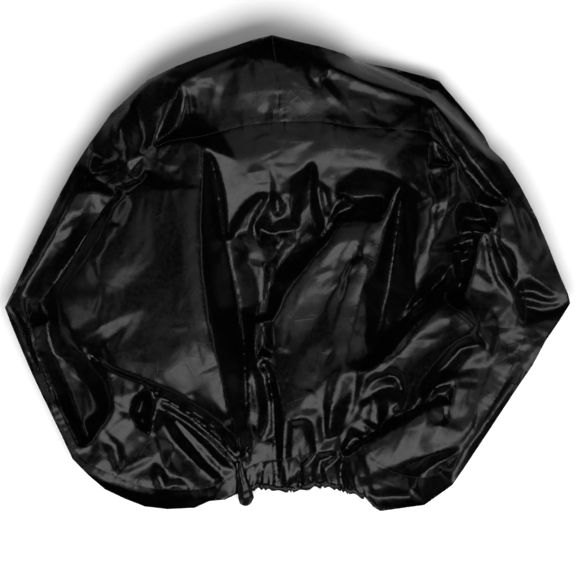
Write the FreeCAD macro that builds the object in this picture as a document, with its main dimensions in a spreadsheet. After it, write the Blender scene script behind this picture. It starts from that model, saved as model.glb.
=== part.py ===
import FreeCAD, Part
import math
import os

import Sketcher
from FreeCAD import Placement, Rotation, Vector

# A soft cover for a spare tyre, lying on its open side as it is stored: a round face of thin coated
# cloth, a tread band that folds over the rim and under it, and an elastic hem round the mouth.
# Millimetres. +X to the right, +Y from the mouth's front edge to the crown, +Z up from the floor.
# The origin is under the middle of the cover, on the floor.

SIZES = {
    "overall_width": 801.0,
    "overall_length": 673.0,
    "overall_height": 100.0,
    "cloth_wall": 2.0,
    "seam_gap": 0.6,
    "face_sag": 60.0,
    "seam_drop": 22.0,
    "side_height": 42.0,
    "floor_inset": 26.0,
    "hem_centre_x": 0.0,
    "mouth_setback": 25.5,
    "crown_setback": 97.4,
    "casing_wall": 1.5,
    "elastic_width": 6.0,
    "elastic_height": 1.2,
    "elastic_play": 1.5,
    "piece_clearance": 0.3,
    "thread_width": 1.2,
    "thread_height": 0.8,
    "tack_margin": 0.5,
    "tack_spacing": 2.0,
    "tab_width": 17.0,
    "tab_length": 12.0,
    "tab_wall": 3.0,
}

# The outline, clockwise from the crown as seen from above. Each station has its place as a share of
# half the overall width and length, how far in from the edge the seam of the face lies, and how
# full the cover stands there as a share of its height.
MOUTH_UP = -0.905
STATIONS = (
    ("crown", -0.055, 1.0, 120.0, 1.0),
    ("crown_right", 0.232, 0.909, 108.0, 1.0),
    ("shoulder_right", 0.539, 0.820, 112.0, 1.0),
    ("temple_right", 0.719, 0.533, 92.0, 1.0),
    ("arm_right", 0.850, 0.330, 72.0, 0.95),
    ("cuff_right", 0.949, 0.056, 64.0, 0.9),
    ("corner_right", 1.0, -0.119, 58.0, 0.8),
    ("flank_right", 0.829, -0.465, 50.0, 0.8),
    ("waist_right", 0.700, -0.680, 50.0, 0.85),
    ("hip_right", 0.582, -0.883, 60.0, 0.85),
    ("lobe_right", 0.346, -1.0, 105.0, 0.8),
    ("mouth_right", 0.220, -0.940, 125.0, 0.6),
    ("mouth", 0.030, MOUTH_UP, 135.0, 0.5),
    ("mouth_left", -0.195, -0.940, 125.0, 0.6),
    ("lobe_left", -0.342, -0.990, 105.0, 0.8),
    ("heel_left", -0.504, -0.978, 72.0, 0.85),
    ("hip_left", -0.762, -0.782, 48.0, 0.85),
    ("flank_left", -0.886, -0.465, 48.0, 0.8),
    ("corner_left", -1.0, -0.140, 56.0, 0.8),
    ("arm_left", -0.900, 0.120, 66.0, 0.9),
    ("temple_left", -0.802, 0.354, 80.0, 0.95),
    ("brow_left", -0.627, 0.678, 100.0, 1.0),
    ("shoulder_left", -0.489, 0.820, 108.0, 1.0),
    ("crown_left", -0.300, 0.915, 112.0, 1.0),
)
NAMES = [station[0] for station in STATIONS]
CROWN = NAMES.index("crown")
MOUTH = NAMES.index("mouth")

MIDDLE_SHARE = 0.5  # the sunk middle of the face is its seam line drawn in by half
RIM_SHARE = 0.45  # the rim's highest line lies this far from the edge towards the face's seam
TAB_SHARE = 0.8  # the tab's place along the edge from the mouth to its left station


# Sizes that follow from the driving ones: the hem's ring spans from the mouth's front edge to the
# crown less its two setbacks, and its casing is made to measure for the elastic and its tacks.
THREAD_TOP = "(sizes.piece_clearance + sizes.thread_height)"
HALF_LENGTH = f"(sizes.overall_length / 2 - {THREAD_TOP})"
CASING_WIDTH = "(sizes.elastic_width + 2 * sizes.elastic_play + 2 * sizes.casing_wall)"
CASING_HEIGHT = (
    "(2 * sizes.casing_wall + sizes.elastic_height + sizes.thread_height + 3 * sizes.piece_clearance)"
)
HEM_EDGE = f"(({1 - MOUTH_UP} * {HALF_LENGTH} - sizes.crown_setback - sizes.mouth_setback) / 2)"
HEM_RADIUS = f"({HEM_EDGE} - {CASING_WIDTH} / 2)"
HEM_CENTRE_Y = f"({HALF_LENGTH} - sizes.crown_setback - {HEM_EDGE})"


def make_sheet(document):
    """The spreadsheet of driving sizes, one alias to a row."""
    sheet = document.addObject("Spreadsheet::Sheet", "sizes")
    for row, (name, value) in enumerate(SIZES.items(), start=1):
        sheet.set(f"A{row}", name)
        sheet.set(f"B{row}", str(value))
        sheet.setAlias(f"B{row}", name)
    document.recompute()
    return sheet


def step_towards(start, end, distance):
    """The point a distance from start on the way to end."""
    way = end - start
    return start + way * (distance / way.Length)


def thread_heights(sizes):
    """How far a seam's thread lies above the cloth, at its underside and its top."""
    return sizes.piece_clearance, sizes.piece_clearance + sizes.thread_height


def value_of(sizes, expression):
    """The number that one of the expressions above comes to."""
    return float(sizes.evalExpression(expression))


def ring_round(centre, directions, radius):
    """Points in the given directions whose joining chords all stay outside a circle."""
    ring = []
    for number, direction in enumerate(directions):
        before = direction.getAngle(directions[number - 1])
        after = direction.getAngle(directions[(number + 1) % len(directions)])
        ring.append(centre + direction * (radius / math.cos(max(before, after) / 2)))
    return ring


def outline_rings(sizes):
    """Rings of points on the outer surface, from the sunk middle of the face to the hem."""
    half_width = sizes.overall_width / 2
    half_length = value_of(sizes, HALF_LENGTH)
    rim_height = sizes.overall_height - value_of(sizes, THREAD_TOP)
    hem_centre = Vector(sizes.hem_centre_x, value_of(sizes, HEM_CENTRE_Y), 0)
    hem_clear = value_of(sizes, HEM_EDGE) + sizes.piece_clearance
    middle, seam, rim, edge, floor, directions = [], [], [], [], [], []
    for _, across, up, seam_inset, fullness in STATIONS:
        outline = Vector(across * half_width, up * half_length, 0)
        inwards = (hem_centre - outline).normalize()
        seam_foot = outline + inwards * seam_inset
        rim_foot = outline + inwards * (seam_inset * RIM_SHARE)
        lift = Vector(0, 0, fullness)
        seam.append(seam_foot + lift * (rim_height - sizes.seam_drop))
        rim.append(rim_foot + lift * rim_height)
        edge.append(outline + lift * sizes.side_height)
        floor.append(outline + inwards * (sizes.floor_inset * fullness**2))
        directions.append(inwards * -1)
        middle.append(
            hem_centre
            + (seam_foot - hem_centre) * MIDDLE_SHARE
            + Vector(0, 0, rim_height - sizes.face_sag)
        )
    hem = ring_round(hem_centre, directions, hem_clear)
    return {"middle": middle, "seam": seam, "rim": rim, "edge": edge, "floor": floor, "hem": hem}


def surface_normals(rings, apex):
    """An outward normal for each point of each ring, the mean of the faces that meet there."""
    rows = list(rings.values())
    count = len(rows[0])
    sums = [[Vector() for _ in row] for row in rows]
    for inner in range(len(rows) - 1):
        for left in range(count):
            right = (left + 1) % count
            corners = [(inner, left), (inner + 1, left), (inner + 1, right), (inner, right)]
            first, second, third, fourth = [rows[r][c] for r, c in corners]
            normal = (third - first).cross(second - fourth)
            for r, c in corners:
                sums[r][c] += normal
    for left in range(count):
        right = (left + 1) % count
        normal = (rows[0][right] - apex).cross(rows[0][left] - apex)
        sums[0][left] += normal
        sums[0][right] += normal
    normals = {}
    for name, row in zip(rings, sums):
        normals[name] = [total.normalize() for total in row]
    return normals


def raised(point, normal, distance):
    """A point moved along its normal; on the floor the cloth lies flat, so it moves straight up."""
    moved = point + normal * distance
    if abs(point.z) < 1e-9:
        moved.z = -distance
    return moved


def solid_of(triangles):
    """One solid from the triangles that close it."""
    faces = []
    for corners in triangles:
        faces.append(Part.Face(Part.makePolygon([*corners, corners[0]])))
    solid = Part.makeSolid(Part.makeShell(faces))
    if solid.Volume < 0:
        solid.reverse()
    return solid.removeSplitter()


def two_triangles(first, second, third, fourth):
    return [(first, second, third), (first, third, fourth)]


def cloth_solid(points, normals, low, high, closed=False, apex=None):
    """A sheet between two distances from its rows of points, joined up round its columns if closed.
    The apex closes the middle of a sheet whose first row is a ring."""
    top = [[raised(p, n, high) for p, n in zip(*pair)] for pair in zip(points, normals)]
    under = [[raised(p, n, low) for p, n in zip(*pair)] for pair in zip(points, normals)]
    rows, columns = len(points), len(points[0])
    spans = columns if closed else columns - 1
    triangles = []
    for left in range(spans):
        right = (left + 1) % columns
        for row in range(rows - 1):
            for side in (top, under):
                triangles += two_triangles(
                    side[row][left], side[row + 1][left], side[row + 1][right], side[row][right]
                )
        triangles += two_triangles(top[-1][left], top[-1][right], under[-1][right], under[-1][left])
        if apex is None:
            triangles += two_triangles(top[0][left], top[0][right], under[0][right], under[0][left])
        else:
            for side, height in ((top, high), (under, low)):
                peak = apex + Vector(0, 0, height)
                triangles.append((peak, side[0][left], side[0][right]))
    if not closed:
        for column in (0, columns - 1):
            for row in range(rows - 1):
                triangles += two_triangles(
                    top[row][column], top[row + 1][column], under[row + 1][column], under[row][column]
                )
    return solid_of(triangles)


def add_shape(document, name, shape):
    """A named sub-part whose shape is worked out from the sheet's sizes."""
    feature = document.addObject("Part::Feature", name)
    feature.Label = name
    feature.Shape = shape
    feature.Placement = Placement()
    return feature


def face_panel(document, sizes, rings, normals, apex):
    """The round face: sunk in the middle, up to its seam with the tread band."""
    seam = [
        step_towards(at_seam, at_middle, sizes.seam_gap / 2)
        for at_seam, at_middle in zip(rings["seam"], rings["middle"])
    ]
    shape = cloth_solid(
        [rings["middle"], seam],
        [normals["middle"], normals["seam"]],
        -sizes.cloth_wall,
        0,
        closed=True,
        apex=apex,
    )
    return add_shape(document, "front_face_panel", shape)


def columns_between(first, last):
    """Station numbers from one to another, clockwise."""
    columns = [first]
    while columns[-1] != last:
        columns.append((columns[-1] + 1) % len(STATIONS))
    return columns


def tread_band(document, sizes, rings, normals, name, columns):
    """One length of the tread band: from the face's seam over the rim, under the edge, to the hem."""
    names = ["seam", "rim", "edge", "floor", "hem"]
    points = [[rings[ring][column] for column in columns] for ring in names]
    points[0] = [step_towards(a, b, sizes.seam_gap / 2) for a, b in zip(points[0], points[1])]
    for row in points:
        first = step_towards(row[0], row[1], sizes.seam_gap / 2)
        last = step_towards(row[-1], row[-2], sizes.seam_gap / 2)
        row[0], row[-1] = first, last
    directions = [[normals[ring][column] for column in columns] for ring in names]
    shape = cloth_solid(points, directions, -sizes.cloth_wall, 0)
    return add_shape(document, name, shape)


def face_seam_thread(document, sizes, rings, normals):
    """The line of stitching round the seam of the face and the tread band."""
    half = sizes.thread_width / 2
    inner = [step_towards(a, b, half) for a, b in zip(rings["seam"], rings["middle"])]
    outer = [step_towards(a, b, half) for a, b in zip(rings["seam"], rings["rim"])]
    points = [inner, rings["seam"], outer]
    shape = cloth_solid(points, [normals["seam"]] * 3, *thread_heights(sizes), closed=True)
    return add_shape(document, "face_seam_thread", shape)


def cross_seam_thread(document, sizes, rings, normals, name, column):
    """The stitching of a seam across the tread band, from the face's seam to below the edge."""
    half = sizes.thread_width / 2
    names = ["seam", "rim", "edge", "floor"]
    before, after = (column - 1) % len(STATIONS), (column + 1) % len(STATIONS)
    line = [rings[ring][column] for ring in names]
    line[0] = step_towards(line[0], line[1], 3 * sizes.thread_width)
    line[3] = (line[2] + line[3]) * 0.5
    left, right = [], []
    for ring, point in zip(names, line):
        here = rings[ring][column]
        left.append(step_towards(point, point + rings[ring][before] - here, half))
        right.append(step_towards(point, point + rings[ring][after] - here, half))
    directions = [normals[ring][column] for ring in names]
    directions[3] = (directions[2] + directions[3]).normalize()
    shape = cloth_solid([left, line, right], [directions] * 3, *thread_heights(sizes))
    return add_shape(document, name, shape)


def add_body(document, name):
    body = document.addObject("PartDesign::Body", name)
    body.Label = name
    return body


def plane_of(body, role):
    for feature in body.Origin.OriginFeatures:
        if feature.Role == role:
            return feature
    raise ValueError(role)


def add_sketch(body, name, role):
    sketch = body.newObject("Sketcher::SketchObject", name)
    sketch.AttachmentSupport = (plane_of(body, role), "")
    sketch.MapMode = "FlatFace"
    return sketch


def draw_rectangle(sketch, left, bottom, width, height):
    """A rectangle whose place and size follow four expressions."""
    low, high = Vector(0, 0, 0), Vector(10, 10, 0)
    corners = [low, Vector(high.x, low.y, 0), high, Vector(low.x, high.y, 0)]
    first = len(sketch.Geometry)
    for start, end in zip(corners, corners[1:] + corners[:1]):
        sketch.addGeometry(Part.LineSegment(start, end), False)
    for edge in range(4):
        following = first + (edge + 1) % 4
        sketch.addConstraint(Sketcher.Constraint("Coincident", first + edge, 2, following, 1))
    for edge, kind in enumerate(("Horizontal", "Vertical", "Horizontal", "Vertical")):
        sketch.addConstraint(Sketcher.Constraint(kind, first + edge))
    wanted = (
        ("DistanceX", (first, 1, first, 2), width),
        ("DistanceY", (first + 1, 1, first + 1, 2), height),
        ("DistanceX", (-1, 1, first, 1), left),
        ("DistanceY", (-1, 1, first, 1), bottom),
    )
    for kind, ends, expression in wanted:
        number = sketch.addConstraint(Sketcher.Constraint(kind, *ends, 1.0))
        sketch.setExpression(f"Constraints[{number}]", expression)


def ring_body(document, name, sections):
    """A ring about the mouth's centre, its section drawn as one rectangle in another or alone."""
    body = add_body(document, name)
    body.setExpression("Placement.Base.x", "sizes.hem_centre_x")
    body.setExpression("Placement.Base.y", HEM_CENTRE_Y)
    sketch = add_sketch(body, name + "_section", "XZ_Plane")
    for section in sections:
        draw_rectangle(sketch, *section)
    document.recompute()
    turn = body.newObject("PartDesign::Revolution", name + "_turn")
    turn.Profile = sketch
    turn.ReferenceAxis = (sketch, ["V_Axis"])
    turn.Angle = 360.0
    body.Tip = turn
    return body


def hem_casing(document):
    """The hem: the band's edge turned over into a flat tube that the elastic runs in."""
    outside = (f"{HEM_EDGE} - {CASING_WIDTH}", "0 mm", CASING_WIDTH, CASING_HEIGHT)
    inside = (
        f"{HEM_EDGE} - {CASING_WIDTH} + sizes.casing_wall",
        "sizes.casing_wall",
        f"{CASING_WIDTH} - 2 * sizes.casing_wall",
        f"{CASING_HEIGHT} - 2 * sizes.casing_wall",
    )
    return ring_body(document, "hem_casing", [outside, inside])


def hem_elastic(document):
    """The flat elastic inside the casing, lying on the casing's lower wall."""
    section = (
        f"{HEM_RADIUS} - sizes.elastic_width / 2",
        "sizes.casing_wall + sizes.piece_clearance",
        "sizes.elastic_width",
        "sizes.elastic_height",
    )
    return ring_body(document, "hem_elastic", [section])


def hem_thread(document):
    """The line of stitching that closes the casing, along its upper side near the band."""
    section = (
        f"{HEM_EDGE} - 2 * sizes.thread_width",
        f"{CASING_HEIGHT} + sizes.piece_clearance",
        "sizes.thread_width",
        "sizes.thread_height",
    )
    return ring_body(document, "hem_thread", [section])


def elastic_join_tacks(document, sizes):
    """Three short bars of thread on the elastic, where its two ends are sewn together."""
    bars = []
    for number in (-1, 0, 1):
        bar = document.addObject("Part::Box", f"tack_bar_{number + 2}")
        bar.setExpression("Length", "sizes.thread_width")
        bar.setExpression("Width", "sizes.elastic_width - 2 * sizes.tack_margin")
        bar.setExpression("Height", "sizes.thread_height")
        step = f"{number} * (sizes.thread_width + sizes.tack_spacing)"
        bar.setExpression("Placement.Base.x", f"sizes.hem_centre_x - sizes.thread_width / 2 + {step}")
        bar.setExpression(
            "Placement.Base.y",
            f"{HEM_CENTRE_Y} - {HEM_RADIUS} - sizes.elastic_width / 2 + sizes.tack_margin",
        )
        bar.setExpression(
            "Placement.Base.z",
            "sizes.casing_wall + sizes.elastic_height + 2 * sizes.piece_clearance",
        )
        bars.append(bar)
    tacks = document.addObject("Part::Compound", "elastic_join_tacks")
    tacks.Label = "elastic_join_tacks"
    tacks.Links = bars
    return tacks


def hem_tab(document, sizes, rings):
    """The folded end of the hem, a small tab that stands out past the mouth's front edge."""
    body = add_body(document, "hem_tab")
    sketch = add_sketch(body, "hem_tab_outline", "XY_Plane")
    draw_rectangle(sketch, "-sizes.tab_width / 2", "0 mm", "sizes.tab_width", "sizes.tab_length")
    document.recompute()
    pad = body.newObject("PartDesign::Pad", "hem_tab_pad")
    pad.Profile = sketch
    pad.setExpression("Length", "sizes.tab_wall")
    body.Tip = pad
    start, end = rings["edge"][MOUTH], rings["edge"][MOUTH + 1]
    root = start + (end - start) * TAB_SHARE
    along = end - start
    turn = math.degrees(math.atan2(along.y, along.x))
    outwards = Vector(along.y, -along.x, 0).normalize() * -1
    base = root + outwards * sizes.piece_clearance - Vector(0, 0, sizes.tab_wall / 2)
    body.Placement = Placement(base, Rotation(Vector(0, 0, 1), turn))
    return body


def build(document):
    """Every sub-part of the cover, in the order in which it is sewn."""
    sizes = make_sheet(document)
    rings = outline_rings(sizes)
    apex = Vector(sizes.hem_centre_x, value_of(sizes, HEM_CENTRE_Y), rings["middle"][CROWN].z)
    normals = surface_normals(rings, apex)
    right, left = columns_between(CROWN, MOUTH), columns_between(MOUTH, CROWN)
    pieces = [
        face_panel(document, sizes, rings, normals, apex),
        tread_band(document, sizes, rings, normals, "tread_band_right", right),
        tread_band(document, sizes, rings, normals, "tread_band_left", left),
        face_seam_thread(document, sizes, rings, normals),
        cross_seam_thread(document, sizes, rings, normals, "crown_seam_thread", CROWN),
        cross_seam_thread(document, sizes, rings, normals, "mouth_seam_thread", MOUTH),
        hem_casing(document),
        hem_elastic(document),
        hem_thread(document),
        elastic_join_tacks(document, sizes),
        hem_tab(document, sizes, rings),
    ]
    document.recompute()
    return pieces


def check(document, pieces):
    """Stops if any object of the document failed, or a sub-part has no sound solid."""
    for thing in document.Objects:
        if "Invalid" in thing.State or "Error" in thing.State:
            raise RuntimeError(f"{thing.Name} failed: {thing.State}")
    for piece in pieces:
        shape = piece.Shape
        if shape.isNull() or not shape.isValid() or not shape.Solids:
            raise RuntimeError(f"{piece.Label} has no sound solid")


def main():
    document = FreeCAD.newDocument("tyre_cover")
    pieces = build(document)
    check(document, pieces)
    os.makedirs("parts", exist_ok=True)
    for piece in pieces:
        piece.Shape.exportStep(os.path.join("parts", piece.Label + ".step"))
        box = piece.Shape.BoundBox
        print(
            f"{piece.Label}: {len(piece.Shape.Solids)} solid(s), {piece.Shape.Volume:.0f} mm3,"
            f" x {box.XMin:.1f} {box.XMax:.1f}, y {box.YMin:.1f} {box.YMax:.1f},"
            f" z {box.ZMin:.2f} {box.ZMax:.2f}"
        )


main()
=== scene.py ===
import math

import bpy
import numpy as np
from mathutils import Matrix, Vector, kdtree
from mathutils.bvhtree import BVHTree
from mathutils.geometry import delaunay_2d_cdt


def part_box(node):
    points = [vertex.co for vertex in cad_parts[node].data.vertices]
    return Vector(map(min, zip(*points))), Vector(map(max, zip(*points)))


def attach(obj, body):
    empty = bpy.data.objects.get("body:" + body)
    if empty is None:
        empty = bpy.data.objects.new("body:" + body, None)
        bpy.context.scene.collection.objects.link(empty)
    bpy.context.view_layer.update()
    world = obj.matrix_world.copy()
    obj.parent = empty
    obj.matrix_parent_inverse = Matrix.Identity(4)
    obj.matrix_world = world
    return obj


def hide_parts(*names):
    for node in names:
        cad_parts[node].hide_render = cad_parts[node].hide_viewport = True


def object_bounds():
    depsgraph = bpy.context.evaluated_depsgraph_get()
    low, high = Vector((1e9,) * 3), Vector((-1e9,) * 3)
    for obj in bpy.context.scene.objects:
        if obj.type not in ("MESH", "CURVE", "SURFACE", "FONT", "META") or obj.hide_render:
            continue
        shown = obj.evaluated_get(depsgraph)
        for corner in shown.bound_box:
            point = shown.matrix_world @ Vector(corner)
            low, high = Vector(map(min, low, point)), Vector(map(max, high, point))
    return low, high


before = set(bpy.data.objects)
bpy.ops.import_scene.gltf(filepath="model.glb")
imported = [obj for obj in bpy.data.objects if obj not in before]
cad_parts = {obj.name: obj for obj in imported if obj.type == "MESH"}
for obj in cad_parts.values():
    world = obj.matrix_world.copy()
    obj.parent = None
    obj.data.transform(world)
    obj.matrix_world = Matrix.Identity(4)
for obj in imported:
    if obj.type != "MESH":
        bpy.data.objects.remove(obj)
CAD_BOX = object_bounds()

# A cover of thin coated cloth, crumpled as it was laid down on its mouth side. Its folds are drawn
# below, each a short line of points (x, y, height) in millimetres from the cover's middle, and the
# cloth lies in flat facets between them. PATTERN is the drawing's width, length and height, which are
# stretched to the frame's box.
PATTERN = Vector((801, 673, 80))

OUTLINE = [
    (-22, 336, 60), (12, 328, 58), (45, 321, 54), (80, 312, 42), (100, 303, 27), (150, 294, 22),
    (200, 281, 22), (216, 276, 21), (240, 248, 20), (264, 220, 20), (280, 198, 22), (288, 180, 26),
    (308, 160, 32), (330, 125, 34), (352, 82, 34), (370, 40, 32), (386, 0, 30), (398, -28, 30),
    (401, -41, 30), (386, -65, 31), (366, -94, 32), (348, -128, 32), (325, -162, 32),
    (300, -200, 31), (272, -243, 30), (250, -276, 30), (234, -299, 30), (222, -308, 30),
    (194, -328, 28), (160, -333, 26), (132, -337, 24), (122, -331, 22), (111, -318, 20),
    (96, -311, 17), (82, -308, 15), (68, -303, 13), (52, -300, 12), (36, -301, 12), (18, -306, 12),
    (-4, -307, 12), (-24, -304, 12), (-44, -302, 12), (-54, -309, 14), (-74, -314, 17),
    (-88, -321, 20), (-112, -323, 24), (-132, -332, 28), (-170, -333, 34), (-202, -329, 36),
    (-230, -318, 36), (-258, -305, 35), (-282, -285, 33), (-305, -262, 31), (-320, -230, 30),
    (-342, -184, 30), (-362, -142, 30), (-380, -100, 30), (-393, -68, 30), (-401, -47, 30),
    (-390, -25, 30), (-366, 26, 33), (-340, 78, 36), (-320, 118, 38), (-300, 155, 36),
    (-280, 187, 32), (-268, 203, 34), (-250, 228, 36), (-226, 250, 38), (-198, 275, 42),
    (-160, 292, 52), (-128, 304, 56), (-80, 319, 58), (-50, 329, 59),
]
FACE_SEAM = [
    (-20, 214), (40, 215), (62, 213), (100, 207), (160, 204), (205, 196), (238, 157), (262, 110),
    (296, 52), (332, -5), (338, -70), (322, -126), (290, -185), (255, -240), (210, -286),
    (160, -284), (122, -262), (98, -232), (72, -258), (44, -255), (0, -262), (-40, -268),
    (-72, -284), (-118, -305), (-196, -304), (-255, -282), (-298, -254), (-324, -205),
    (-345, -150), (-360, -98), (-366, -60), (-345, -28), (-325, -5), (-298, 35), (-270, 80),
    (-240, 120), (-208, 160), (-172, 184), (-126, 192), (-103, 198), (-60, 209),
]
CROWN_SEAM = [(-22, 336), (-17, 300), (-12, 262), (-13, 236), (-8, 224), (-4, 214)]
MOUTH_SEAM = [(20, -259), (16, -280), (12, -307)]

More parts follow.
